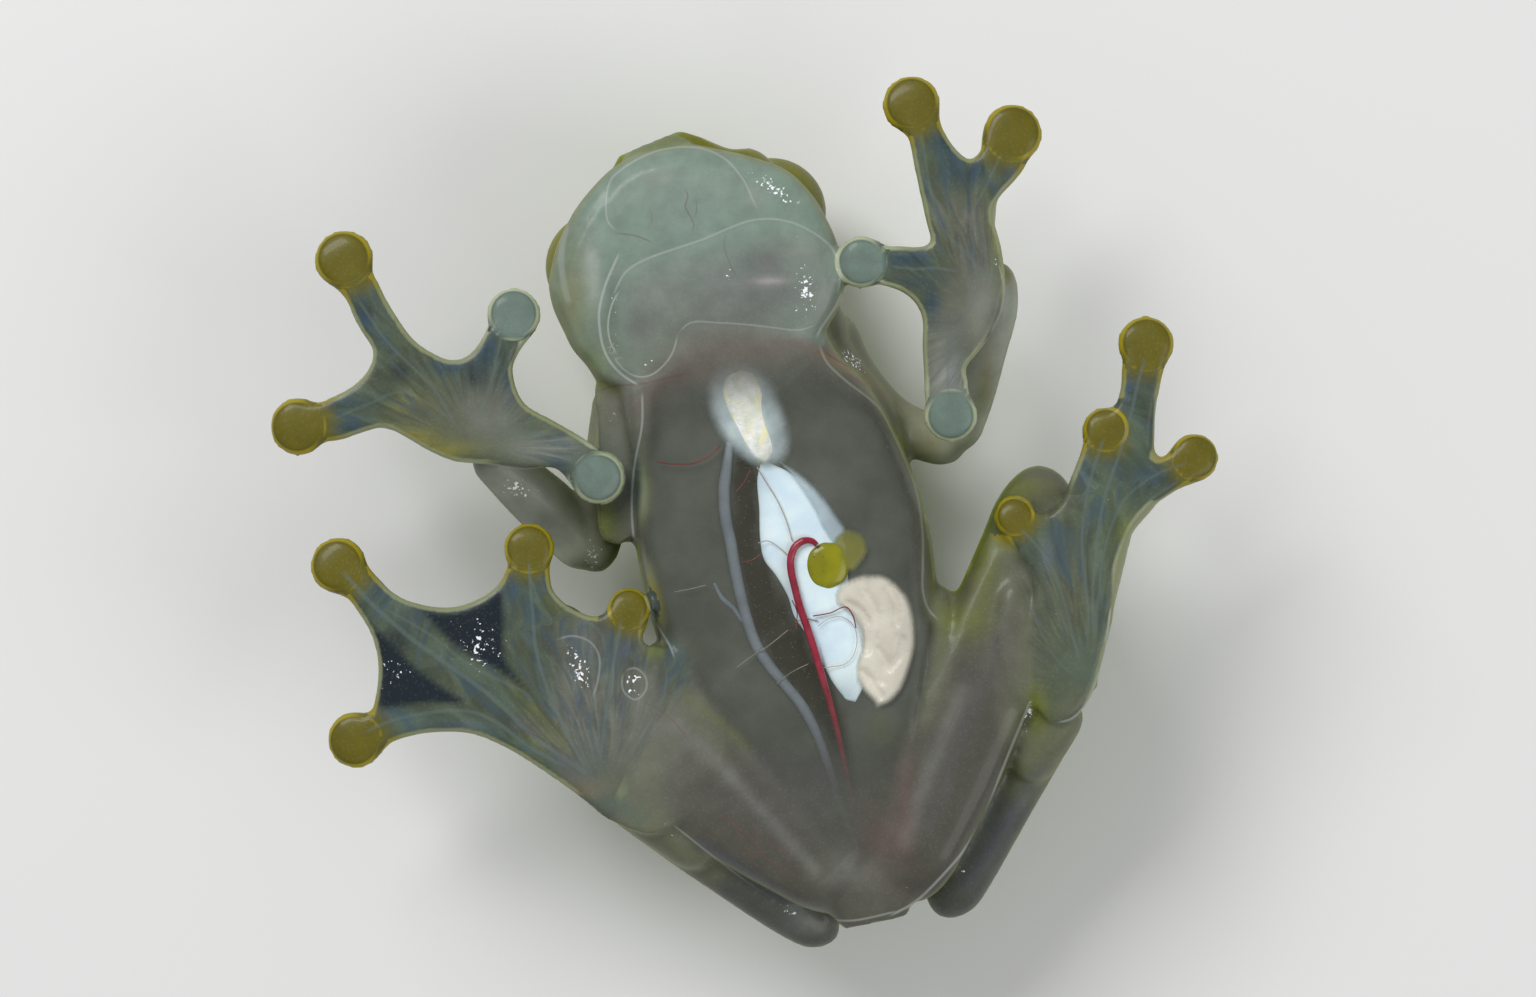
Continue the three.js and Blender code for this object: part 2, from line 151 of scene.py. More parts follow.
# A fleshy form: rounded rings set across a smooth line through the stations. A ring reaches
# wide * |cos|^(2/power) to each side and high * |sin|^(2/power) up and down, with a power of its own for the
# upper half, and shrinks near both ends as the chord of a circle does. A station is x, y, z, half width and
# half height.
def flesh(stations, sides=28, steps=36, power=2.0, topPower=None, blunt=0.55, flat=False, floor=0.0,
          ceiling=pane):
    line = through(stations, rounding["linePoints"] * steps)
    eased = np.linspace(0, 1, steps + 1)
    if not flat:
        eased = 0.5 - 0.5 * np.cos(np.pi * eased)
    reached = np.concatenate(([0], np.cumsum(np.linalg.norm(np.diff(line[:, :3], axis=0), axis=1))))
    far = eased * reached[-1]
    line = np.stack([np.interp(far, reached, column) for column in line.T], axis=1)
    along = np.gradient(line[:, :3], axis=0)
    if flat:
        along[:, 2] = 0
    across, rise = crossFrame(unit(along))
    inward = np.clip(1 - np.minimum(far, reached[-1] - far) / (blunt * (line[:, 3] + line[:, 4])), 0, 1)
    shrink = np.ones(len(line)) if flat else np.maximum(rounding["least"], np.sqrt(1 - inward ** 2))
    angle = np.linspace(0, 2 * np.pi, rounding["arcPoints"])
    power = np.where(np.sin(angle) > 0, topPower or power, power)
    side = np.sign(np.cos(angle)) * np.abs(np.cos(angle)) ** (2 / power)
    up = np.sign(np.sin(angle)) * np.abs(np.sin(angle)) ** (2 / power)
    around = np.concatenate(([0], np.cumsum(np.hypot(np.diff(side), np.diff(up)))))
    even = np.linspace(0, around[-1], sides, endpoint=False)
    side, up = np.interp(even, around, side), np.interp(even, around, up)
    wide = (line[:, 3] * shrink)[:, None, None]
    high = (line[:, 4] * shrink)[:, None, None]
    rings = (line[:, None, :3] + across[:, None] * side[None, :, None] * wide
             + rise[:, None] * up[None, :, None] * high)
    rings[..., 2] = np.clip(rings[..., 2], floor, ceiling)
    return tube(rings)


# A ball from its latitudes and longitudes, cut level at the plane.
def ball(middle, radius, sides=32, rows=18):
    lat = np.linspace(-np.pi / 2, np.pi / 2, rows + 2)[1:-1]
    lon = np.linspace(0, 2 * np.pi, sides, endpoint=False)
    rings = np.stack((np.cos(lat)[:, None] * np.cos(lon), np.cos(lat)[:, None] * np.sin(lon),
                      np.sin(lat)[:, None] * np.ones(sides)), axis=2) * radius + middle
    points, faces = tube(rings)
    points[-2:, 2] = middle[2] + np.array([-1, 1]) * radius
    points[:, 2] = np.minimum(points[:, 2], pane)
    return points, faces


# A level slab inside a smooth closed outline of pixels, from a depth down, its edge moved inwards by `inset`.
def slab(pixels, depth, thick, inset=0.0):
    outline = fromPhoto(pixels)[:, :2]
    top = pane - depth
    rim = through(np.column_stack((outline, np.zeros(len(outline)))), 6 * len(outline), closed=True)[:, :2]
    area = np.sum(rim[:, 0] * np.roll(rim[:, 1], -1) - np.roll(rim[:, 0], -1) * rim[:, 1])
    if area < 0:
        rim = rim[::-1]
    along = unit(np.roll(rim, -1, axis=0) - np.roll(rim, 1, axis=0))
    rim = rim + inset * np.column_stack((-along[:, 1], along[:, 0]))
    n = len(rim)
    points = np.vstack([np.column_stack((rim, np.full(n, z))) for z in (top - thick, top)])
    walls = [[k, (k + 1) % n, (k + 1) % n + n, k + n] for k in range(n)]
    return points, walls + [list(range(n))[::-1], list(range(n, 2 * n))]


# Several closed forms as one list of points and faces.
def gather(forms):
    points, faces, first = [], [], 0
    for p, f in forms:
        points.append(p)
        faces += [[i + first for i in face] for face in f]
        first += len(p)
    return np.vstack(points), faces


def makeObject(name, points, faces, scale=0.001):
    mesh = bpy.data.meshes.new(name)
    mesh.from_pydata((np.asarray(points) * scale).tolist(), [], faces)
    mesh.validate()
    mesh.shade_smooth()
    piece = bpy.data.objects.new(name, mesh)
    bpy.context.scene.collection.objects.link(piece)
    return piece


# The mesh with its modifiers applied, as a new mesh on the same object.
def applied(piece):
    graph = bpy.context.evaluated_depsgraph_get()
    mesh = bpy.data.meshes.new_from_object(piece.evaluated_get(graph))
    piece.modifiers.clear()
    old = piece.data
    piece.data = mesh
    bpy.data.meshes.remove(old)
    mesh.name = piece.name
    return mesh


# A value that each item of a mesh has, as rows.
def rowsOf(items, name, width, kind=float):
    flat = np.empty(width * len(items), kind)
    items.foreach_get(name, flat)
    return flat.reshape(-1, width)


def normalsOf(mesh):
    return rowsOf(mesh.vertex_normals, "vector", 3)


def movePoints(mesh, points):
    mesh.vertices.foreach_set("co", (points / 1000).ravel())
    mesh.update()


# A colour or a share for each point. A share is kept three times over, so that it reads as a grey.
def storeColour(mesh, name, values):
    if values.ndim == 1:
        values = np.column_stack([values] * 3)
    flat = np.ones((len(values), 4))
    flat[:, :values.shape[1]] = values
    mesh.attributes.new(name, "FLOAT_COLOR", "POINT").data.foreach_set("color", flat.ravel())


# Moves every point towards the mean of its neighbours by `pull`, then back out by a little more, again and
# again, which rounds small steps without shrinking the form.
def smoothed(points, edges, rounds, pull=0.55, back=-0.58):
    a, b = edges.T
    count = np.bincount(edges.ravel(), minlength=len(points)).astype(float)[:, None]
    for k in range(2 * rounds):
        total = np.stack([np.bincount(a, points[b, c], len(points))
                          + np.bincount(b, points[a, c], len(points))
                          for c in range(3)], axis=1)
        points = points + (pull if k % 2 == 0 else back) * (total / count - points)
    return points


# Joins closed forms into one smooth skin on a grid of small cubes.
def fused(name, forms, cube, rounds):
    piece = makeObject(name, *gather(forms), scale=1.0)
    remesh = piece.modifiers.new("Remesh", "REMESH")
    remesh.mode = "VOXEL"
    remesh.voxel_size = cube
    mesh = applied(piece)
    mesh.shade_smooth()
    points = smoothed(rowsOf(mesh.vertices, "co", 3), rowsOf(mesh.edges, "vertices", 2, np.int64), rounds)
    return piece, mesh, points


# A smooth flat line through pixel places.
def smoothLine(pixels, count=None, closed=False):
    flat = np.column_stack((pixels, np.zeros(len(pixels))))
    line = through(flat, count or 5 * len(pixels), closed)[:, :2]
    return np.vstack((line, line[:1])) if closed else line


# Which places lie in the box round a line, widened by `reach`.
def nearBox(places, line, reach):
    low, high = line.min(axis=0) - reach, line.max(axis=0) + reach
    return np.where(np.all((places > low) & (places < high), axis=1))[0]


# Distance of each place from the nearest stretch of a line, cut off at `reach`.
def lineDistance(places, line, reach):
    away = np.full(len(places), reach)
    near = nearBox(places, line, reach)
    spots, best = places[near], away[near]
    for a, b in zip(line[:-1], line[1:]):
        along = b - a
        t = np.clip(((spots - a) @ along) / max(along @ along, 1e-9), 0, 1)
        best = np.minimum(best, np.linalg.norm(spots - a - t[:, None] * along, axis=1))
    away[near] = best
    return away


# True for places inside a closed line, from how often a level ray out of them crosses it.
def isInside(places, line):
    x, y = places.T
    inside = np.zeros(len(places), bool)
    for (ax, ay), (bx, by) in zip(line, np.roll(line, -1, axis=0)):
        if ay != by:
            inside ^= ((ay > y) != (by > y)) & (x < (bx - ax) * (y - ay) / (by - ay) + ax)
    return inside


# Distance from a closed line, less than zero inside it.
def signedDistance(places, pixels, reach):
    line = smoothLine(pixels, closed=True)
    return lineDistance(places, line, reach) * np.where(isInside(places, line), -1, 1)


# How the fields of thin lines are measured, in pixels.
drawn = {
    "reach": 14.0,        # how far from a line its field goes
    "none": 9.0,          # the distance in half widths where there is no line
    "ends": 9,            # length over which a line fades in and out
    "gate": (3.5, 6.5),   # distance over which its strength falls to nothing
    "apart": 20,          # how far apart lines are at most compared when they are dealt out
}


# For each place the signed distance from the nearest of the lines, over the line's half width, and the line's
# strength where it is near, which fades towards both ends. The sign makes the line sharp on a coarse mesh.
def lineFields(places, lines):
    best = np.full(len(places), drawn["reach"])
    signed = np.full(len(places), drawn["none"])
    near = np.zeros(len(places))
    for strength, half, pixels in lines:
        line = smoothLine(pixels)
        steps = np.diff(line, axis=0)
        sizes = np.maximum(np.linalg.norm(steps, axis=1), 1e-9)
        starts = np.cumsum(sizes) - sizes
        spots = nearBox(places, line, drawn["reach"])
        for a, along, size, start in zip(line[:-1], steps, sizes, starts):
            gap = places[spots] - a
            t = np.clip(gap @ along / size ** 2, 0, 1)
            away = np.linalg.norm(gap - t[:, None] * along, axis=1)
            closer = away < best[spots]
            hit, far = spots[closer], (start + t * size)[closer]
            turn = np.sign(along[0] * gap[closer, 1] - along[1] * gap[closer, 0])
            best[hit] = away[closer]
            signed[hit] = turn * away[closer] / half
            near[hit] = (strength * ease(np.minimum(far, sizes.sum() - far), 0, drawn["ends"])
                         * (1 - ease(away[closer], *drawn["gate"])))
    return np.stack((signed, near), axis=1)


# Deals lines out to two sets, so that lines side by side fall into different ones, and gives the fields of
# both.
def dealtFields(places, lines):
    sets = ([], [])
    for row in lines:
        line = smoothLine(row[2])
        gaps = [min([lineDistance(line, smoothLine(other[2]), drawn["apart"]).min() for other in dealt],
                    default=drawn["apart"]) for dealt in sets]
        sets[int(gaps[1] > gaps[0])].append(row)
    return np.hstack([lineFields(places, dealt) for dealt in sets])


def spotShare(pixels, x, y, wide, high, turn=0.0):
    turn = math.radians(turn)
    dx, dy = pixels[:, 0] - x, pixels[:, 1] - y
    along = dx * math.cos(turn) + dy * math.sin(turn)
    across = -dx * math.sin(turn) + dy * math.cos(turn)
    return np.exp(-((along / wide) ** 2 + (across / high) ** 2))


# The frog's forms, with the same named sizes as the solids.
# A row of a limb is x, y, depth under the plane, half width and half height, in plan coordinates.
arms = {
    "right": {
        "upper": [
            (4.35, -3.75, 3.6, 1.0, 1.0), (4.85, -1.2, 3.8, 0.86, 0.88), (5.3, 1.15, 4.1, 0.78, 0.8),
            (5.45, 2.3, 4.15, 0.62, 0.66),
        ],
        "fore": [
            (5.4, 2.1, 4.15, 0.66, 0.7), (6.35, 0.8, 3.8, 0.92, 0.88), (7.35, -0.2, 2.9, 0.9, 0.8),
            (8.9, -1.55, 1.6, 0.62, 0.62),
        ],
        "palm": (9.95, -2.55), "heelWide": 0.62,
        "fingers": [
            {"base": (6.95, -1.65), "mid": (6.2, -1.3), "tip": (5.17, -0.63), "pad": 0.8},
            {"base": (8.3, -4.05), "mid": (7.98, -4.75), "tip": (7.76, -5.64), "pad": 0.8},
            {"base": (11.9, -5.3), "mid": (12.35, -6.1), "tip": (12.96, -7.32), "pad": 0.88},
            {"base": (12.4, -2.8), "mid": (13.2, -2.45), "tip": (14.36, -2.19), "pad": 0.86},
        ],
    },
    "left": {
        "upper": [
            (-1.7, -5.7, 3.6, 0.95, 1.0), (-2.4, -4.05, 3.8, 0.85, 0.88), (-3.88, -2.4, 4.0, 0.78, 0.8),
            (-5.6, -1.7, 4.15, 0.72, 0.75), (-6.15, -1.55, 4.15, 0.58, 0.62),
        ],
        "fore": [
            (-5.75, -1.5, 4.15, 0.66, 0.7), (-6.18, -3.06, 3.6, 0.8, 0.85), (-6.6, -4.6, 2.6, 0.78, 0.8),
            (-6.95, -6.1, 1.7, 0.76, 0.66), (-6.9, -7.3, 1.3, 0.6, 0.55),
        ],
        "palm": (-5.95, -7.2), "heelWide": 0.7,
        "fingers": [
            {"base": (-5.5, -4.75), "mid": (-5.5, -3.9), "tip": (-5.58, -2.52), "pad": 0.8},
            {"base": (-4.35, -7.05), "mid": (-3.85, -7.15), "tip": (-2.84, -7.22), "pad": 0.78},
            {"base": (-5.35, -10.3), "mid": (-4.95, -10.95), "tip": (-4.37, -12.06), "pad": 0.86},
            {"base": (-6.65, -10.1), "mid": (-6.95, -10.5), "tip": (-7.49, -11.17), "pad": 0.88},
        ],
    },
}
legs = {
    "right": {
        "thigh": [
            (-2.7, 12.3, 2.5, 1.2, 1.4), (-1.95, 11.2, 1.85, 1.65, 1.75), (1.6, 8.9, 1.75, 1.85, 1.65),
            (4.3, 6.9, 2.6, 1.65, 1.4), (6.45, 4.65, 3.25, 1.3, 1.1), (7.5, 3.45, 3.35, 1.05, 0.9),
        ],
        "shank": [
            (7.2, 3.9, 4.25, 0.9, 0.85), (5.9, 5.3, 4.35, 1.05, 0.95), (3.0, 8.4, 4.75, 1.15, 1.1),
            (-1.2, 12.95, 3.95, 0.8, 0.78), (-1.9, 13.4, 3.8, 0.6, 0.6),
        ],
        "tarsus": [
            (-2.15, 13.55, 3.3, 0.66, 0.66), (-1.22, 13.03, 3.2, 0.84, 0.8), (1.78, 11.13, 2.3, 0.78, 0.76),
            (4.7, 9.0, 1.35, 0.78, 0.72),
        ],
        "sole": (5.5, 8.05),
        "toes": [
            {"base": (3.75, 6.35), "mid": (3.5, 5.95), "tip": (3.1, 5.3), "pad": 0.5},
            {"base": (4.4, 4.55), "mid": (4.32, 4.1), "tip": (4.25, 3.35), "pad": 0.64},
            {"base": (7.3, 3.2), "mid": (7.3, 2.6), "tip": (7.3, 1.5), "pad": 0.76},
            {"base": (12.05, 3.2), "mid": (12.4, 2.75), "tip": (13.14, 2.03), "pad": 0.84},
            {
                "base": (11.3, 6.8), "bend": (8.9, 6.75), "mid": (11.72, 7.02), "tip": (12.62, 7.38),
                "pad": 0.84,
            },
        ],
    },
    "left": {
        "thigh": [
            (-3.95, 12.25, 2.5, 1.2, 1.4), (-4.2, 10.8, 1.85, 1.65, 1.75), (-5.75, 7.3, 1.75, 1.8, 1.65),
            (-7.2, 3.85, 1.85, 1.65, 1.6), (-8.2, 0.8, 2.2, 1.38, 1.75), (-8.45, -1.0, 2.3, 1.1, 1.6),
        ],
        "shank": [
            (-8.55, -0.5, 4.2, 0.9, 0.85), (-8.35, 1.2, 4.3, 1.05, 0.95), (-7.4, 5.2, 4.75, 1.15, 1.1),
            (-6.0, 11.6, 3.95, 0.8, 0.78), (-5.6, 12.3, 3.8, 0.6, 0.6),
        ],
        "tarsus": [
            (-5.35, 12.95, 3.3, 0.7, 0.68), (-5.8, 12.0, 3.2, 0.92, 0.82), (-7.85, 8.62, 2.3, 0.78, 0.76),
            (-9.27, 6.1, 1.35, 0.78, 0.72),
        ],
        "sole": (-9.5, 4.9),
        "toes": [
            {"base": (-8.6, 3.75), "mid": (-8.35, 3.3), "tip": (-7.98, 2.7), "pad": 0.5, "sunk": 0.45},
            {"base": (-8.15, 1.75), "mid": (-7.85, 1.25), "tip": (-7.52, 0.53), "pad": 0.6},
            {"base": (-10.05, -0.6), "mid": (-10.15, -1.15), "tip": (-10.3, -2.12), "pad": 0.68},
            {"base": (-11.35, -1.6), "mid": (-11.4, -2.8), "tip": (-11.55, -4.74), "pad": 0.84},
            {
                "base": (-11.75, -0.3), "bend": (-10.45, 1.4), "mid": (-12.25, -0.65),
                "tip": (-13.05, -1.27), "pad": 0.72,
            },
        ],
    },
}
# Outlines of the flat palms and soles with their fingers, in pixels of the photograph.
outlines = {
    "handRight": [(372, 275), (384, 297), (396, 317), (413, 340), (430, 352), (449, 360), (466, 357),
        (480, 342), (489, 326), (505, 320), (522, 335), (513, 353), (512, 370), (516, 390), (525, 405),
        (553, 421), (585, 440), (604, 456), (606, 480), (590, 492), (577, 486), (567, 471), (549, 467),
        (525, 469), (490, 464), (455, 461), (430, 451), (404, 436), (385, 427), (362, 432), (338, 440),
        (318, 440), (302, 430), (306, 412), (324, 401), (350, 388), (368, 370), (373, 351), (362, 332),
        (354, 318), (347, 300), (340, 284), (355, 270)],
    "handLeft": [(908, 118), (912, 150), (919, 185), (927, 222), (931, 243), (915, 247), (897, 246),
        (880, 249), (868, 262), (880, 283), (898, 289), (914, 300), (923, 318), (923, 345), (925, 378),
        (927, 402), (942, 418), (962, 408), (968, 385), (966, 368), (978, 352), (992, 333), (1001, 312),
        (1005, 290), (1004, 265), (999, 238), (992, 212), (1000, 196), (1012, 183), (1024, 168),
        (1030, 150), (1018, 136), (1000, 141), (985, 151), (969, 159), (955, 148), (945, 133), (936, 115),
        (920, 105)],
    "footRight": [(353, 570), (364, 566), (377, 578), (391, 592), (407, 601), (448, 608), (479, 599),
        (499, 584), (509, 566), (530, 556), (548, 568), (551, 588), (562, 602), (580, 613), (598, 617),
        (610, 610), (630, 612), (641, 628), (643, 645), (656, 661), (677, 660), (672, 690), (652, 730),
        (634, 765), (620, 795), (606, 816), (588, 803), (568, 788), (548, 774), (530, 762), (512, 751),
        (494, 742), (476, 735), (455, 732), (428, 733), (410, 736), (390, 742), (368, 746), (356, 732),
        (370, 716), (376, 694), (378, 663), (371, 634), (358, 612), (350, 600), (342, 582)],
    "footLeft": [(1124, 362), (1122, 385), (1116, 406), (1100, 420), (1086, 441), (1078, 462), (1070, 482),
        (1062, 502), (1046, 515), (1030, 512), (1018, 522), (1026, 540), (1036, 565), (1036, 600),
        (1034, 640), (1036, 680), (1042, 715), (1060, 724), (1080, 712), (1094, 690), (1104, 655),
        (1112, 622), (1116, 592), (1117, 565), (1126, 541), (1136, 521), (1148, 507), (1164, 494),
        (1184, 483), (1196, 470), (1196, 452), (1180, 449), (1168, 455), (1155, 459), (1150, 441),
        (1155, 410), (1162, 378), (1164, 360), (1146, 346)],
}
# Flesh that fills the hollows beside the soles and under the shoulder: outline in pixels, depth and
# thickness.
bridges = {
    "soleRight": ([(646, 648), (676, 652), (704, 690), (722, 735), (712, 780), (682, 820), (652, 834),
        (618, 824), (598, 810), (606, 770), (626, 715), (636, 680)], 0.06, 1.9),
    "soleLeft": ([(1014, 565), (1030, 552), (1042, 575), (1048, 630), (1050, 700), (1024, 712), (1004, 690),
        (1003, 620)], 0.45, 1.9),
    "shoulder": ([(599, 374), (642, 386), (646, 440), (640, 500), (636, 530), (620, 544), (602, 538),
        (596, 500), (597, 440)], 0.95, 2.3),
}
trunk = {
    "neck": (1.35, -4.1),
    # the way the head points from the neck, and across the head towards the frog's right
    "aim": (0.28, -0.96), "side": (0.96, 0.28),
    "shape": {"power": 2.35, "topPower": 6.0, "flat": True, "sides": 56, "steps": 70},
    # distance in front of the neck, half width, height of the back, bulge of the belly past the pane
    "throat": [(0.3, 3.3, 1.75, 0.2), (-1.1, 3.6, 0.9, 0.2)],
    # x, y, half width, height of the back, bulge of the belly past the pane
    "stations": [
        (0.25, -1.2, 4.15, -0.15, 0.25), (-0.4, 1.1, 4.5, -0.25, 0.25), (-0.86, 3.3, 4.42, -0.25, 0.25),
        (-1.25, 5.2, 4.1, -0.1, 0.25), (-1.75, 7.4, 3.3, 0.9, 0.2), (-2.45, 9.6, 2.6, 2.4, 0.1),
        (-3.0, 11.6, 1.85, 3.8, -0.4), (-3.3, 13.0, 1.0, 5.0, -0.9),
    ],
}
skull = {
    "shape": {"power": 2.25, "topPower": 3.0, "flat": True, "sides": 56, "steps": 50},
    # from the plane down to the mouth line, and the nostrils' places beside the head's middle, in front
    # of the neck and under the plane
    "mouth": 1.5, "nostrils": (-0.25, 1.1), "nostrilFar": 7.15, "nostrilDepth": 3.1,
    # distance in front of the neck, half width, half height, shift towards the frog's right
    "stations": [
        (-0.9, 3.3, 3.3, 0.0), (0.2, 3.3, 3.3, 0.0), (1.2, 3.95, 3.3, -0.05), (2.45, 4.25, 3.3, 0.04),
        (3.5, 4.22, 3.2, 0.13), (4.6, 3.86, 2.95, 0.11), (5.3, 3.36, 2.7, 0.1), (6.0, 2.6, 2.4, 0.2),
        (6.65, 1.75, 2.0, 0.24), (7.2, 1.0, 1.5, 0.3),
    ],
    # how far snout and eyes lie under the plane of the milky jaw
    "drop": 1.1,
    # the jaw's edge in pixels, its thickness, and the steps of its rounded rim: inset and depth
    "jaw": [(692, 143), (720, 148), (740, 152), (760, 158), (780, 165), (795, 175), (805, 185), (815, 197),
        (823, 210), (829, 222), (835, 235), (839, 248), (843, 262), (846, 280), (843, 295), (836, 312),
        (826, 330), (815, 350), (780, 385), (740, 400), (700, 402), (650, 398), (620, 390), (597, 380),
        (585, 364), (572, 349), (561, 327), (554, 312), (550, 300), (548, 286), (549, 273), (552, 258),
        (557, 242), (564, 227), (572, 212), (581, 199), (591, 187), (602, 175), (614, 165), (636, 153),
        (662, 146)],
    "jawThick": 1.5,
    "rim": [(0.0, 0.75), (0.12, 0.45), (0.3, 0.22), (0.6, 0.07), (1.1, 0.0)],
    # under it the jaw draws in to the mouth and the skull: where these slabs start, then inset and
    # depth of the underside of each
    "underTop": 1.2,
    "under": [(0.12, 1.75), (0.3, 2.0), (0.55, 2.3), (0.9, 2.6)],
}
eye = {
    "radius": 1.4, "lid": 0.3,
    # the gaze in shares of forward, outward and upward
    "forward": 0.5, "outward": 0.72, "down": -0.8,
    # place of each ball, and how far along the gaze the lid and the ball lie from it
    "right": (5.45, -7.3, 4.75), "left": (-0.25, -9.1, 4.75), "lidBack": -0.28, "ballOut": 0.1,
    # the clear front stands a little proud where the ball faces the gaze
    "bulge": 0.06, "bulgeFrom": (0.75, 0.97), "rows": 50, "sides": 72,
}
# Skin between limb and trunk: rows of x, y, depth, half width and half height.
folds = {
    "armRight": [(4.5, -3.2, 3.0, 0.6, 1.2), (4.75, -1.0, 3.2, 0.7, 1.5), (4.65, 0.25, 3.4, 0.5, 1.2)],
    "armLeft": [
        (-1.9, -6.1, 3.2, 0.5, 1.2), (-2.1, -4.5, 3.2, 0.6, 1.4), (-3.2, -2.6, 3.4, 0.8, 1.3),
        (-4.1, -1.3, 3.4, 0.5, 1.0),
    ],
    "soleRight": [(3.6, 5.5, 0.75, 0.5, 0.75), (3.6, 7.0, 0.9, 1.0, 0.95), (4.1, 8.6, 0.95, 0.95, 0.95)],
    "soleLeft": [(-7.6, 2.2, 0.9, 0.6, 0.85), (-7.5, 4.5, 0.9, 0.95, 0.95), (-8.0, 6.7, 1.0, 0.9, 0.95)],
    "ankleRight": [
        (4.7, 9.0, 0.75, 0.75, 0.75), (3.2, 10.07, 1.3, 0.75, 0.9), (1.78, 11.13, 1.9, 0.7, 0.9),
    ],
    "ankleLeft": [
        (-9.27, 6.1, 0.75, 0.75, 0.75), (-8.6, 7.3, 1.25, 0.75, 0.9), (-7.85, 8.62, 1.9, 0.7, 0.9),
    ],
    "groinRight": [(3.4, 5.3, 2.0, 0.5, 1.2), (2.9, 6.3, 1.8, 0.9, 1.5), (1.5, 8.0, 1.8, 0.8, 1.5)],
    "groinLeft": [(-5.35, 2.7, 2.0, 0.55, 1.3), (-5.1, 4.2, 1.8, 0.9, 1.5), (-4.9, 6.5, 1.8, 0.8, 1.5)],
}
flats = {
    "web": 0.55,                # thickness of webs, palms and soles
    "pad": 0.8,                 # thickness of a disc
    "sunk": 0.02,               # how far a disc's face lies under the plane
    "middle": 0.62,             # depth of the middle of palm and sole
    "root": 0.5,                # depth of the middle of a digit's root
    # half width and half height of each station
    "wristHigh": 0.62, "palm": (0.95, 0.66), "palmRay": (0.9, 0.62), "fingerRoot": (0.46, 0.5),
    "ankle": (0.72, 0.72), "sole": (0.8, 0.62), "soleRay": (0.7, 0.58), "toeRoot": (0.42, 0.48),
    # the front of the palm: place as a share of the palm's own, depth, half width and half height
    "front": (0.985, 1.1, 0.55, 0.75, 0.58),
    # a digit: how far its root reaches back past its base, then depth, half width and half height
    "back": 0.6, "rootSize": (0.5, 0.47, 0.47), "midSize": (0.48, 0.46, 0.46),
    # a disc's neck: distance from its middle in radii, half width and half height
    "discNeck": (-0.95, 0.56, 0.42),
    # a disc: distance from its middle and half width in radii, and half height as a share of its thickness
    "disc": [(-0.25, 1.0, 0.5), (0.35, 1.0, 0.5), (1.0, 0.85, 0.44)],
    "digitShape": {"blunt": 0.62, "topPower": 3.4},
    "legShape": {"thigh": 4.5, "shank": 2.3, "tarsus": 2.3},    # power of the upper half
}
neck = np.array(trunk["neck"])
headAim = unit(np.array([*trunk["aim"], 0.0]))
headSide = unit(np.array([*trunk["side"], 0.0]))


# Place at a distance in front of the neck and to the frog's right of it, in plan coordinates.
def alongHead(far, right=0.0):
    return neck + headAim[:2] * far + headSide[:2] * right


def gaze(side):
    out = 1 if side == "right" else -1
    return unit(headAim * eye["forward"] + headSide * out * eye["outward"] + np.array([0, 0, eye["down"]]))


def station(at, wide, high):
    return place(*at) + [wide, high]


def limb(rows):
    return [station(row[:3], *row[3:]) for row in rows]


def trunkStations(inset=0.0):
    rows = [(*alongHead(far), *sizes) for far, *sizes in trunk["throat"]] + trunk["stations"]
    out = []
    for x, y, wide, back, bulge in rows:
        high = (pane + bulge - back) / 2
        out.append(station((x, y, high - bulge), wide - inset, high - inset))
    return out


def headStations():
    half = skull["drop"] / 2
    return [station((*alongHead(far, shift), high + half), wide, high - half)
            for far, wide, high, shift in skull["stations"]]


# The way a digit points.
def digitAim(d):
    aim = np.subtract(d["tip"], d["mid"])
    return aim / np.hypot(*aim)


def digitStations(d):
    sunk = d.get("sunk", 0.0)
    pad = d["pad"]
    at = lambda far: (*(np.asarray(d["tip"]) + digitAim(d) * far), flats["pad"] / 2 + flats["sunk"] + sunk)
    root = np.asarray(d["base"]) + (np.asarray(d["base"]) - np.asarray(d["mid"])) * flats["back"]
    out = [station((*spot, depth + sunk), wide, high)
           for spot, (depth, wide, high) in ((root, flats["rootSize"]), (d["mid"], flats["midSize"]))]
    far, wide, high = flats["discNeck"]
    out.append(station(at(pad * far), wide, high))
    return out + [station(at(pad * far), pad * wide, flats["pad"] * high)
                  for far, wide, high in flats["disc"]]


# The digits of a palm or sole: for each the flesh that runs out to it, and the digit itself with its disc.
def digitForms(digits, middle, kind, digitKind, ray, root):
    out = []
    for number, d in enumerate(digits):
        roots = [station((*d[key], flats["root"]), *flats[root]) for key in ("bend", "base") if key in d]
        out.append({"kind": kind, "stations": [station(middle, *flats[ray]), *roots]})
        out.append({"kind": digitKind, "digit": d, "number": number, "stations": digitStations(d),
                    "shape": flats["digitShape"]})
    return out


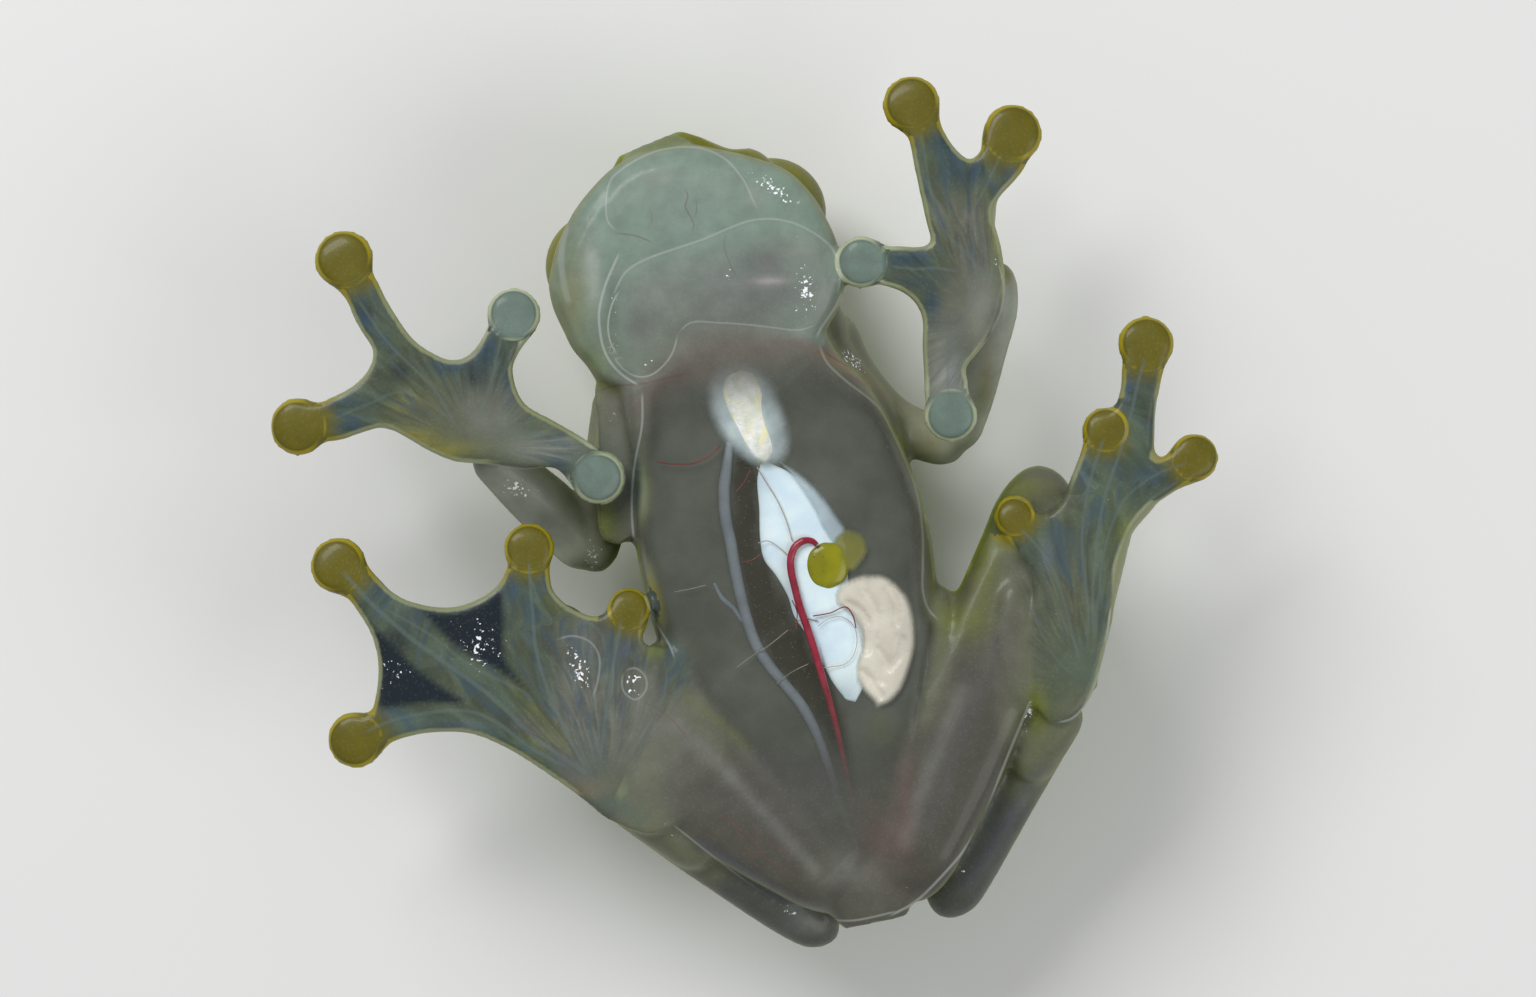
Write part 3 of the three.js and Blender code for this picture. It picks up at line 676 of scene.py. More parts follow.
# Every form of the body as a dictionary: its kind, its stations and its section.
def bodyForms():
    out = [{"kind": "trunk", "stations": trunkStations(), "shape": trunk["shape"]},
           {"kind": "head", "stations": headStations(), "shape": skull["shape"]}]
    out += [{"kind": "fold", "stations": limb(rows)} for rows in folds.values()]
    for a in arms.values():
        palm = (*a["palm"], flats["middle"])
        alongX, alongY, depth, *front = flats["front"]
        out += [{"kind": "upperArm", "stations": limb(a["upper"])},
                {"kind": "forearm", "stations": limb(a["fore"])},
                {"kind": "hand", "stations": [
                    station(a["fore"][-1][:3], a["heelWide"], flats["wristHigh"]),
                    station(palm, *flats["palm"]),
                    station((a["palm"][0] * alongX, a["palm"][1] * alongY, depth), *front)]}]
        out += digitForms(a["fingers"], palm, "hand", "finger", "palmRay", "fingerRoot")
    for l in legs.values():
        sole = (*l["sole"], flats["middle"])
        out += [{"kind": kind, "stations": limb(l[kind]), "shape": {"topPower": power}}
                for kind, power in flats["legShape"].items()]
        out.append({"kind": "foot", "stations": [station(l["tarsus"][-1][:3], *flats["ankle"]),
                                                 station(sole, *flats["sole"])]})
        out += digitForms(l["toes"], sole, "foot", "toe", "soleRay", "toeRoot")
    return out


# What the photograph shows on the skin, as smooth lines and spots in its pixels.
windowEdge = [
    (819, 344), (826, 361), (836, 372), (850, 384), (866, 396), (881, 410), (892, 431), (904, 457),
    (914, 483), (920, 509), (923, 538), (923, 566), (923, 590), (928, 608), (940, 622), (934, 660),
    (924, 705), (912, 750), (900, 800), (888, 845), (862, 872), (832, 858), (800, 820), (765, 775),
    (726, 728), (696, 690), (675, 655), (657, 625), (647, 601), (641, 578), (635, 547), (632, 519),
    (632, 490), (635, 462), (642, 424), (642, 391), (662, 366), (700, 342), (745, 334), (790, 336),
]
marks = {
    # the closed edge of the clear belly
    "window": windowEdge,
    # thin pale lines where skin pressed flat ends, painted highlights of the wet edge: strength, half
    # width, line. The first two run along the edge of the clear belly
    "pressed": [
        (0.4, 1.1, windowEdge[:15]),
        (0.6, 1.1, windowEdge[35:26:-1] + [(671, 648), (675, 660)]),
        (0.6, 1.0, [(618, 232), (608, 222), (606, 205), (607, 190), (612, 178), (625, 167), (640, 158),
            (660, 150), (680, 147), (700, 148), (715, 153), (728, 161), (738, 172), (747, 186), (752, 198),
            (758, 210)]),
        (0.55, 1.1, [(613, 296), (619, 283), (626, 272), (637, 264), (652, 257), (672, 250), (702, 240),
            (730, 228), (750, 221), (770, 219), (790, 222), (805, 228), (820, 237), (832, 248), (838, 262),
            (840, 280), (837, 295)]),
        (0.4, 0.9, [(678, 334), (690, 323), (720, 323), (750, 325), (775, 328), (800, 330), (818, 324)]),
        (0.55, 0.9, [(678, 334), (673, 352), (665, 364), (655, 373), (645, 377), (634, 376), (622, 368),
            (612, 355)]),
        (0.85, 1.2, [(620, 252), (614, 265), (607, 281), (602, 297), (599, 313), (600, 332), (604, 350),
            (613, 366), (626, 378), (640, 386)]),
        (0.8, 0.9, [(620, 290), (613, 302), (609, 316), (608, 330), (611, 344), (618, 356)]),
        (0.8, 1.2, [(843, 290), (837, 304), (828, 318), (820, 330), (816, 340)]),
        (0.4, 3.0, [(568, 222), (563, 240), (561, 262), (564, 285), (570, 308)]),
        (0.6, 1.0, [(672, 824), (723, 864), (764, 893), (804, 911), (845, 921), (900, 911)]),
        (0.8, 1.2, [(1031, 700), (1007, 758), (982, 820), (964, 850), (952, 865), (915, 902), (888, 917)]),
        (0.7, 1.0, [(1111, 605), (1103, 660), (1086, 703), (1071, 719), (1056, 723)]),
        (0.5, 1.0, [(998, 262), (1004, 285), (1001, 310), (990, 335)]),
        (0.5, 1.0, [(455, 461), (490, 464), (525, 469), (549, 467)]),
        (0.45, 1.0, [(556, 640), (572, 636), (590, 642), (599, 656), (598, 680), (592, 700)]),
        (0.45, 1.0, [(624, 672), (634, 668), (645, 676), (646, 690), (636, 700), (624, 692), (622, 680),
            (624, 672)]),
    ],
    # tendons and finger bones: strength, half width, line
    "tendon": [
        (0.7, 1.4, [(456, 427), (435, 390), (411, 366), (388, 343), (371, 319), (357, 298)]),
        (0.5, 1.4, [(454, 420), (402, 392), (369, 404), (331, 420)]),
        (0.7, 1.3, [(477, 428), (487, 394), (494, 371), (499, 347), (503, 324)]),
        (0.6, 1.6, [(482, 432), (518, 432), (553, 435), (577, 456), (594, 474)]),
        (0.6, 1.4, [(986, 284), (971, 258), (945, 232), (934, 206), (927, 170), (921, 130)]),
        (0.6, 1.4, [(976, 258), (971, 217), (987, 185), (1002, 151)]),
        (0.7, 1.3, [(962, 272), (935, 268), (916, 269), (887, 266)]),
        (0.5, 1.2, [(950, 238), (984, 272)]),
        (0.5, 1.6, [(976, 300), (955, 334), (948, 368), (949, 400)]),
        (0.9, 2.2, [(341, 570), (370, 602), (412, 639), (450, 666), (493, 698), (530, 733), (562, 757),
            (592, 777)]),
        (0.6, 1.5, [(384, 608), (429, 634), (471, 666), (525, 693), (536, 705)]),
        (0.7, 1.6, [(362, 734), (388, 722), (420, 714), (466, 711), (493, 720), (528, 746), (568, 768)]),
        (0.9, 1.6, [(529, 560), (530, 580), (533, 618), (536, 650), (549, 693), (571, 741), (587, 771)]),
        (0.8, 1.5, [(622, 618), (619, 634), (613, 666), (607, 704), (603, 736), (600, 764)]),
        (0.6, 1.3, [(667, 668), (664, 693), (643, 725), (627, 755), (612, 772)]),
        (0.5, 1.2, [(552, 600), (580, 618), (600, 632), (607, 660)]),
        (0.8, 1.5, [(1146, 356), (1139, 379), (1131, 414), (1120, 452), (1104, 500), (1095, 560),
            (1092, 630)]),
        (0.8, 1.5, [(1105, 436), (1095, 464), (1086, 500), (1082, 546), (1087, 598), (1089, 636)]),
        (0.6, 1.3, [(1190, 462), (1161, 472), (1139, 486), (1123, 502), (1106, 543), (1098, 600),
            (1096, 640)]),
        (0.8, 1.4, [(1018, 528), (1030, 538), (1052, 568), (1065, 606), (1074, 640), (1080, 662)]),
        (0.5, 1.2, [(1010, 560), (1024, 590), (1052, 653), (1072, 676)]),
        (0.4, 1.2, [(1013, 598), (1000, 625), (991, 650)]),
    ],
    # broad bands of muscle, bone or light: strength, half width, tone, line
    "bands": [
        (0.7, 9, "wetGreen", [(352, 580), (384, 612), (420, 640), (466, 672), (510, 704)]),
        (0.6, 7, "wetGreen", [(372, 736), (412, 722), (460, 718), (500, 734), (530, 752)]),
        (0.5, 8, "wetGreen", [(532, 585), (536, 640), (552, 692), (574, 740), (592, 768)]),
        (0.5, 6, "wetGreen", [(620, 625), (612, 670), (604, 720), (600, 760)]),
        (0.6, 8, "wetGreen", [(540, 745), (580, 778), (615, 805), (640, 818)]),
        (0.5, 8, "shade", [(520, 722), (552, 748), (590, 790), (616, 812)]),
        (0.3, 7, "leafGreen", [(515, 690), (540, 715), (566, 745)]),
        (0.7, 6, "fleshGrey", [(672, 722), (712, 758), (758, 806), (815, 870)]),
        (0.55, 6, "fleshGrey", [(716, 685), (742, 662), (790, 622)]),
        (0.6, 9, "fleshGrey", [(962, 690), (940, 745), (918, 800), (905, 840)]),
        (0.4, 7, "shade", [(996, 640), (974, 700), (950, 770), (930, 830)]),
        (0.35, 4, "leafGreen", [(686, 695), (708, 712), (728, 730), (747, 747)]),
        (0.2, 5, "violet", [(700, 842), (740, 868), (778, 895), (807, 916)]),
        (0.2, 6, "violet", [(1040, 770), (1012, 815), (985, 855), (966, 882)]),
        (0.5, 10, "wetGreen", [(1050, 540), (1060, 600), (1070, 650)]),
        (0.4, 12, "wetGreen", [(1078, 520), (1080, 600), (1084, 660)]),
        (0.6, 5, "olive", [(383, 428), (410, 436), (436, 450), (452, 458)]),
        (0.5, 6, "olive", [(997, 226), (1004, 250), (1006, 280)]),
        (0.5, 9, "fleshGrey", [(700, 380), (668, 372), (640, 384)]),
        (0.5, 5, "rust", [(820, 352), (850, 369), (876, 385), (898, 400), (925, 410)]),
        (0.35, 5, "rose", [(755, 352), (790, 344), (815, 350)]),
        (0.5, 5, "rose", [(705, 366), (680, 378), (650, 392)]),
        (0.7, 5, "pearl", [(591, 256), (594, 275), (592, 296)]),
    ],
    # soft round spots: x, y, half width, half height, tone, strength
    "spots": [
        (452, 366, 24, 9, "blue", 0.75), (485, 350, 12, 22, "blue", 0.7), (509, 385, 8, 22, "blue", 0.7),
        (364, 319, 8, 14, "blue", 0.6), (344, 401, 20, 8, "blue", 0.6), (350, 428, 16, 5, "blue", 0.55),
        (562, 460, 9, 12, "blue", 0.6), (414, 436, 30, 9, "olive", 0.6),
        (455, 448, 26, 8, "olive", 0.5), (470, 404, 30, 20, "fleshGrey", 0.4),
        # the gap spots are painted shade of dark gaps
        (474, 378, 9, 10, "gap", 0.7), (398, 372, 14, 12, "gap", 0.6), (410, 404, 16, 9, "olive", 0.5),
        (380, 345, 10, 22, "wetGreen", 0.4), (945, 142, 8, 18, "blue", 0.6),
        (952, 172, 9, 18, "blue", 0.6), (975, 172, 9, 14, "blue", 0.6),
        (1008, 172, 6, 12, "skyBlue", 0.6), (907, 259, 22, 8, "blue", 0.75),
        (932, 304, 9, 18, "blue", 0.8), (915, 282, 20, 6, "blue", 0.5),
        (953, 380, 8, 18, "violet", 0.5), (968, 225, 24, 30, "fleshWarm", 0.5),
        (985, 290, 18, 26, "milk", 0.5), (1000, 230, 7, 20, "olive", 0.5),
        (938, 210, 10, 20, "fleshGrey", 0.4), (986, 380, 8, 40, "rust", 0.4),
        (384, 590, 16, 10, "skyBlue", 0.5), (428, 606, 24, 8, "blue", 0.5),
        # the gap spot is painted shade of a dark gap
        (398, 640, 14, 20, "gap", 0.6), (512, 588, 5, 18, "skyBlue", 0.8),
        (540, 586, 6, 14, "skyBlue", 0.5), (625, 650, 6, 14, "violet", 0.6),
        (386, 714, 16, 6, "skyBlue", 0.6), (455, 726, 30, 5, "violet", 0.4),
        (420, 722, 30, 8, "wetGreen", 0.4), (610, 800, 30, 16, "wetGreen", 0.5),
        (535, 744, 22, 10, "leafGreen", 0.3), (578, 790, 26, 10, "rust", 0.4),
        (1084, 478, 8, 22, "skyBlue", 0.7), (1128, 390, 5, 18, "skyBlue", 0.7),
        (1145, 475, 20, 10, "skyBlue", 0.5), (1048, 556, 8, 18, "violet", 0.5),
        (1038, 530, 14, 10, "teal", 0.5), (1084, 670, 26, 20, "teal", 0.35),
        (1100, 580, 5, 50, "teal", 0.5), (1034, 705, 6, 18, "leafGreen", 0.8),
        (1124, 530, 14, 12, "leafGreen", 0.6), (1040, 488, 26, 14, "fleshGrey", 0.5),
        (767, 262, 26, 20, "shade", 0.7), (767, 300, 34, 16, "shade", 0.5),
        (641, 322, 20, 26, "shade", 0.7), (700, 290, 40, 22, "milk", 0.4),
        (612, 312, 7, 34, "wetGreen", 0.6), (768, 281, 18, 4, "white", 0.8),
        (700, 262, 30, 12, "milk", 0.5), (660, 178, 20, 10, "milk", 0.6),
        (690, 205, 60, 40, "milk", 0.5), (565, 300, 12, 46, "teal", 0.2),
        (757, 196, 12, 10, "milk", 0.5), (588, 275, 12, 30, "pearl", 0.6),
        (820, 300, 18, 26, "milk", 0.5), (730, 352, 50, 18, "milk", 0.6),
        (800, 250, 30, 16, "milk", 0.5), (655, 290, 24, 20, "milk", 0.5),
        # the deep green spots are dark yellow-green skin with painted shade of the gaps beside the limbs
        (608, 522, 22, 26, "deepGreen", 0.8), (660, 655, 14, 10, "deepGreen", 0.9),
        (903, 392, 10, 12, "deepGreen", 0.6), (668, 745, 44, 70, "fleshGrey", 0.45),
        (1000, 640, 26, 60, "shade", 0.6), (985, 400, 14, 30, "leafGreen", 0.4),
        (940, 372, 16, 40, "milk", 0.7), (952, 330, 18, 26, "fleshGrey", 0.5),
        (955, 290, 14, 24, "fleshWarm", 0.4), (1072, 600, 34, 70, "soleGrey", 0.6),
        (1100, 500, 20, 40, "toeGreen", 0.6), (1130, 440, 12, 40, "toeGreen", 0.4),
        (575, 690, 26, 60, "fleshGrey", 0.5), (640, 700, 24, 50, "fleshGrey", 0.5),
        (1060, 500, 30, 20, "soleGrey", 0.5), (1030, 500, 20, 30, "soleGrey", 0.4),
        (430, 412, 34, 22, "soleGrey", 0.5), (500, 400, 22, 26, "fleshGrey", 0.35),
        (545, 448, 44, 15, "milk", 0.6), (490, 425, 30, 16, "milk", 0.35),
        (960, 385, 16, 26, "milk", 0.6), (978, 320, 14, 36, "milk", 0.45),
        (972, 250, 16, 34, "fleshGrey", 0.4), (600, 730, 40, 60, "fleshGrey", 0.4),
        (735, 290, 95, 42, "beanGrey", 0.75), (572, 300, 22, 62, "cheek", 0.6),
        (600, 350, 26, 30, "cheek", 0.5), (575, 250, 14, 30, "cheek", 0.4),
        (585, 370, 22, 22, "leafGreen", 0.5), (1030, 486, 30, 16, "leafGreen", 0.4),
        (735, 352, 80, 26, "fleshWarm", 0.9), (640, 398, 40, 18, "fleshWarm", 0.9),
        (680, 372, 40, 16, "fleshWarm", 0.7), (570, 300, 16, 40, "olive", 0.3),
        (690, 215, 60, 50, "mint", 0.5), (880, 840, 24, 34, "rose", 0.25),
        (905, 800, 10, 50, "rose", 0.25), (860, 872, 34, 20, "fleshGrey", 0.5),
        (790, 780, 60, 60, "shade", 0.4), (880, 724, 14, 16, "leafGreen", 0.5),
        (960, 620, 26, 20, "leafGreen", 0.6), (1040, 712, 10, 24, "leafGreen", 0.6),
        (808, 918, 18, 14, "milk", 0.5), (566, 600, 22, 14, "leafGreen", 0.6),
        (590, 640, 30, 22, "fleshGrey", 0.4), (655, 652, 10, 10, "leafGreen", 0.6),
        (540, 520, 30, 30, "fleshGrey", 0.4), (604, 520, 10, 40, "leafGreen", 0.4),
        (618, 415, 14, 46, "fleshGrey", 0.5), (930, 448, 18, 14, "olive", 0.5),
        (1015, 500, 14, 24, "leafGreen", 0.5), (984, 560, 16, 60, "leafGreen", 0.6),
    ],
    # thin blood vessels in the skin: strength, half width, line
    "vessel": [
        (0.5, 0.7, [(683, 186), (688, 196), (685, 206), (690, 216), (694, 225), (691, 233)]),
        (0.4, 0.6, [(695, 196), (697, 208), (694, 220)]),
        (0.3, 0.6, [(650, 207), (652, 220), (647, 230)]),
        (0.5, 0.8, [(614, 233), (636, 236), (656, 244)]),
        (0.35, 0.7, [(727, 230), (724, 245), (731, 266), (738, 280)]),
        (0.6, 1.0, [(718, 812), (736, 826), (752, 838), (766, 858), (790, 872)]),
        (0.5, 0.9, [(736, 826), (742, 842), (760, 860)]),
        (0.5, 0.8, [(745, 822), (775, 846), (800, 862)]),
        (0.4, 0.7, [(640, 700), (668, 716), (690, 742)]),
        (0.35, 0.7, [(960, 700), (948, 730), (930, 760)]),
        (0.9, 1.1, [(822, 350), (840, 362), (860, 372), (880, 384), (900, 394), (925, 402)]),
        (0.8, 0.9, [(845, 372), (866, 386), (888, 398), (910, 408), (928, 412)]),
        (0.5, 0.8, [(838, 352), (858, 364), (878, 374), (896, 384)]),
        (0.5, 1.0, [(596, 392), (615, 386), (640, 384), (668, 378), (690, 372)]),
        (0.35, 0.8, [(930, 420), (918, 430), (908, 428)]),
    ],
    # places over heart, liver and gut where the skin is clearest: x, y, half width, half height
    "clearest": [(744, 416, 30, 56), (790, 520, 40, 66), (832, 610, 44, 76), (886, 640, 38, 80)],
    # painted highlights, white glints of the wet skin: x, y, half width, half height, turned by degrees,
    # strength
    "glints": [
        (776, 190, 32, 9, 35, 1.0), (853, 360, 20, 8, 42, 1.0), (806, 290, 12, 32, 0, 1.0),
        (838, 280, 6, 26, 0, 0.5), (516, 488, 22, 12, 15, 0.9), (592, 560, 12, 30, 0, 0.75),
        (614, 410, 18, 44, 0, 0.35), (578, 668, 12, 24, -25, 1.0), (634, 684, 10, 13, 0, 1.0),
        (480, 645, 26, 32, -30, 0.8), (396, 672, 18, 20, 0, 0.7), (728, 275, 4, 28, 0, 0.6),
        (700, 322, 60, 5, 0, 0.5), (652, 366, 14, 10, 0, 0.6), (790, 912, 10, 6, 30, 0.9),
        (670, 830, 16, 6, 30, 0.5), (1028, 716, 5, 18, 20, 0.9), (1106, 500, 5, 10, 0, 0.6),
        (1062, 565, 5, 5, 0, 0.5), (436, 570, 10, 6, 0, 0.3), (963, 872, 8, 5, 0, 0.8),
        (996, 262, 4, 6, 0, 0.9), (1010, 215, 4, 4, 0, 0.8), (614, 320, 4, 40, 0, 0.7),
    ],
    # places where the edge of a palm or sole runs into other flesh and has no rim: x, y, half width,
    # half height
    "noRim": [
        (662, 722, 52, 92), (596, 812, 30, 22), (1030, 640, 26, 96), (1060, 722, 40, 26),
        (530, 470, 46, 14), (990, 300, 12, 46), (618, 478, 24, 60), (1040, 496, 34, 34),
    ],
    # where the bones of each palm and sole meet
    "hubs": [(478, 446), (985, 322), (606, 802), (1090, 694)],
    # dark see-through web between toes
    "webs": [
        [(418, 605), (445, 612), (466, 608), (484, 600), (500, 584), (505, 612), (506, 655), (516, 674),
            (527, 690), (498, 672), (461, 651), (431, 624)],
        [(368, 622), (388, 638), (414, 664), (440, 684), (466, 702), (428, 704), (374, 706), (378, 676),
            (376, 650)],
    ],
}
look = {
    "brighten": 1.3,    # how much lighter than the dark photograph the tones are
    "sheen": 0.016,     # light that the wet surface throws back whatever its tone
}


# A tone as the eye reads it on a screen, as the linear colour a shader takes.
def tone(red, green, blue):
    seen = np.clip(np.array([red, green, blue]) / 255 * look["brighten"], 0, 1)
    linear = np.where(seen < 0.04045, seen / 12.92, ((seen + 0.055) / 1.055) ** 2.4)
    return np.maximum(linear - look["sheen"], 0.001)


# Tones of the skin by region and mark, as they look in the photograph.
tones = {
    "trunk": (74, 74, 66), "head": (94, 108, 98), "fold": (80, 82, 66), "upperArm": (92, 93, 78),
    "forearm": (112, 116, 106), "hand": (64, 70, 56), "finger": (52, 64, 58), "thigh": (62, 61, 55),
    "shank": (66, 68, 66), "tarsus": (64, 66, 62), "foot": (62, 68, 56), "toe": (50, 62, 56),
    "back": (92, 112, 26), "side": (86, 86, 20), "belly": (66, 68, 62), "web": (26, 33, 38),
    "padYellow": (78, 73, 5), "padYellowRim": (118, 108, 4), "padPale": (82, 95, 88),
    "padPaleRim": (132, 138, 112), "webRim": (112, 116, 88), "blue": (34, 50, 63), "skyBlue": (52, 68, 82),
    # gap is painted shade, the dark seen in gaps between parts and in the nostrils
    "gap": (18, 32, 40), "olive": (104, 100, 46), "leafGreen": (82, 88, 34), "wetGreen": (62, 74, 66),
    "teal": (70, 90, 80), "milk": (104, 106, 100), "pearl": (128, 134, 128), "shade": (72, 70, 70),
    "rose": (96, 66, 66), "rust": (100, 84, 54), "violet": (66, 74, 92), "fleshGrey": (88, 88, 84),
    "white": (168, 160, 158), "fleshWarm": (83, 79, 73), "mint": (98, 116, 108), "beanGrey": (86, 87, 85),
    # the deep green is dark yellow-green skin with painted shade of the gaps beside the limbs
    "deepGreen": (48, 52, 30), "soleGrey": (74, 75, 60), "toeGreen": (74, 86, 70), "cheek": (84, 90, 76),
}
tones = {name: tone(*seen) for name, seen in tones.items()}

# How the skin is painted. A pair is where a share starts and where it is full. Depths are millimetres under
# the plane, distances from lines are pixels, and facing is the upward part of the normal.
paint = {
    "blend": 0.12, "farForm": 3.0, "formMargin": 0.9, "least": 0.12,     # regions
    "reach": 12, "overEdge": 4, "underWeb": 0.25,
    "seen": (-0.1, 0.3), "deepMarks": (2.2, 4.5),                        # facing and depth of the marks
    # painted light: arms deep in shade are painted lighter over these depths, by this factor
    "deepArm": (2.6, 3.8), "armPaintedLight": 1.5,                               # an arm deep in shade is lighter
    "clearReach": 40, "clearEdge": (0, 16), "clearFacing": (0.3, 0.8), "clearDepth": (0.7, 1.4),
    "clearFrom": (330, 430), "clearTo": (700, 810), "clearLess": 0.75,   # rows of pixels
    "windowOpacity": 0.24, "organOpacity": 0.06, "overOrgans": (0.2, 0.6),
    "bellyEdge": (-4, 6), "bellyShare": 0.8,
    "webEdge": (-3, 5), "webDepth": 0.9, "webSoft": (0, 0.2), "webClear": 0.04,
    "noDisc": 9.0, "discDepth": (1.0, 1.3), "stemHalf": 15.5, "stemReach": 27.5, "outer": (-0.75, -0.2),
    "stain": (1.0, 1.75), "stainShare": 0.85, "stainOuter": (1.0, 1.1), "discEdge": (0.85, 1.05),
    "rimDepth": (0.66, 0.82), "rimShare": 0.8, "noRimEdge": (-1.2, -0.8), "discRim": 1.06,
    "outerRim": (1.5, 0.3), "rimTone": (1.1, 2.2), "edgeScale": 24,
    "back": (-0.34, 0.25), "backFlat": 0.35, "side": (-0.5, 0.0), "sideShare": 0.75,
    "mouthSide": (0.95, 1.5), "lipSide": (0.25, 0.8), "lipShare": 0.55, "nostril": 0.2,
    "fanDepth": (0.7, 1.0), "fanDisc": (1.0, 1.5), "fanFrom": (25, 90), "fanScale": 100,
    "lineDepth": (1.2, 2.2), "flatBack": 0.6,
}


# How far each point lies outside a form, in millimetres: the least of its scaled distances from places along
# the form's middle line, where 1 is the form's own surface.
def reachOf(points, stations):
    line = through(stations, 30)
    size = (line[:, 3:5].mean(axis=1)).min()
    away = np.full(len(points), paint["farForm"])
    near = nearBox(points, line[:, :3], line[:, 3:5].max() + paint["formMargin"])
    spots, best = points[near], away[near]
    for x, y, z, wide, high in line:
        flat = ((spots[:, 0] - x) ** 2 + (spots[:, 1] - y) ** 2) / wide ** 2
        best = np.minimum(best, (np.sqrt(flat + (spots[:, 2] - z) ** 2 / high ** 2) - 1) * size)
    away[near] = best
    return away


# The share of each region at each point: regions are blended by exp(-distance / blend).
def regionShares(points):
    pixels, depth = toPhoto(points), pane - points[:, 2]
    away = {}
    for form in forms:
        gap = reachOf(points, form["stations"])
        away[form["kind"]] = np.minimum(away.get(form["kind"], gap), gap)
    fromJaw = signedDistance(pixels, skull["jaw"], paint["reach"])
    flatParts = [("head", fromJaw, skull["jawThick"])]
    for name, outline in outlines.items():
        kind = "hand" if name.startswith("hand") else "foot"
        edge = signedDistance(pixels, outline, paint["reach"])
        flatParts.append((kind, edge, flats["web"] + paint["underWeb"]))
    for kind, gap, thick in flatParts:
        inPart = (gap < paint["overEdge"]) & (depth < thick)
        away[kind] = np.where(inPart, np.minimum(away[kind], 0.0), away[kind])
    away["finger"] = away["finger"] + (fromJaw < 0)
    blend = paint["blend"]
    shares = {kind: np.exp(-np.maximum(gap, -paint["least"]) / blend) for kind, gap in away.items()}
    total = np.sum(list(shares.values()), axis=0)
    return {kind: share / total for kind, share in shares.items()}


# Closeness to each disc: the place's distance over the disc's own radius, whether the disc is yellow, whether
# the place is on its outer side, and how far inside the digit's stem it lies.
def padFields(pixels, depth):
    ratio, yellow, outer = np.full(len(pixels), paint["noDisc"]), np.zeros(len(pixels)), np.zeros(len(pixels))
    stem = np.full(len(pixels), float(-paint["reach"]))
    for form in forms:
        if "digit" not in form or form["kind"] == "toe" and form["number"] == 0:
            continue
        digit = form["digit"]
        joints = np.array([digit["base"], digit["mid"], digit["tip"]]) / view["pixel"]
        joints = view["middle"] + joints * (-1, 1)
        x, y = (pixels - joints[2]).T
        away = np.hypot(x, y) / (digit["pad"] / view["pixel"])
        away = away + ease(depth, *paint["discDepth"]) * paint["noDisc"]
        stem = np.maximum(stem, paint["stemHalf"] - lineDistance(pixels, joints, paint["stemReach"]))
        closer = away < ratio
        ratio = np.where(closer, away, ratio)
        aim = digitAim(digit)
        forward = (-x * aim[0] + y * aim[1]) * view["pixel"] / digit["pad"]
        outer = np.where(closer, ease(forward, *paint["outer"]), outer)
        pale = form["kind"] == "finger" and form["number"] < 2
        yellow = np.where(closer, 0.0 if pale else 1.0, yellow)
    return ratio, yellow, outer, stem


# What the painting of the skin needs to know of each point.
def surveyed(mesh, points, shares):
    at = SimpleNamespace(points=points, shares=shares, pixels=toPhoto(points), depth=pane - points[:, 2])
    at.up = normalsOf(mesh)[:, 2]
    at.flat = shares["hand"] + shares["foot"] + shares["finger"] + shares["toe"]
    at.body = np.clip(1 - at.flat, 0, 1)
    at.seen = ease(at.up, *paint["seen"])
    at.top = at.seen * (1 - ease(at.depth, *paint["deepMarks"]) * at.body)
    at.edges = [signedDistance(at.pixels, outline, paint["reach"]) for outline in outlines.values()]
    at.ratio, at.yellow, at.outer, at.stem = padFields(at.pixels, at.depth)
    at.turned = ease(-at.up, *paint["back"])
    return at


# How clear the belly is, from 0 to 1, and how solid it is where it is clearest.
def windowFields(at):
    window = signedDistance(at.pixels, marks["window"], paint["clearReach"])
    clear = ease(-window, *paint["clearEdge"]) * ease(at.up, *paint["clearFacing"]) * at.body
    clear = clear * (1 - ease(at.depth, *paint["clearDepth"]))
    clear *= (ease(at.pixels[:, 1], *paint["clearFrom"])
              * (1 - paint["clearLess"] * ease(at.pixels[:, 1], *paint["clearTo"])))
    over = np.max([spotShare(at.pixels, *spot) for spot in marks["clearest"]], axis=0)
    less = paint["organOpacity"] - paint["windowOpacity"]
    return window, clear, paint["windowOpacity"] + less * ease(over, *paint["overOrgans"])


def paintMarks(at, colour):
    for strength, half, name, line in marks["bands"]:
        away = lineDistance(at.pixels, smoothLine(line), 3 * half)
        colour = mixed(colour, tones[name], strength * hump(away, half) * at.top * (away < 3 * half))
    for x, y, wide, high, name, strength in marks["spots"]:
        colour = mixed(colour, tones[name], strength * spotShare(at.pixels, x, y, wide, high) * at.top)
    return colour


# Where the dark see-through webs between the toes are.
def webShare(at):
    web = np.zeros(len(at.points))
    for outline in marks["webs"]:
        web = np.maximum(web, ease(-signedDistance(at.pixels, outline, paint["reach"]), *paint["webEdge"]))
    return web * ease(paint["webDepth"] - at.depth, *paint["webSoft"])


# One of two tones at each point, by how yellow its disc is.
def padTone(at, pale, yellow):
    return mixed(np.tile(tones[pale], (len(at.points), 1)), tones[yellow], at.yellow)


def paintDiscs(at, colour):
    stain = at.yellow * (1 - ease(at.ratio, *paint["stain"])) * paint["stainShare"]
    colour = mixed(colour, tones["padYellow"], stain * (1 - at.outer * ease(at.ratio, *paint["stainOuter"])))
    return mixed(colour, padTone(at, "padPale", "padYellow"), 1 - ease(at.ratio, *paint["discEdge"]))


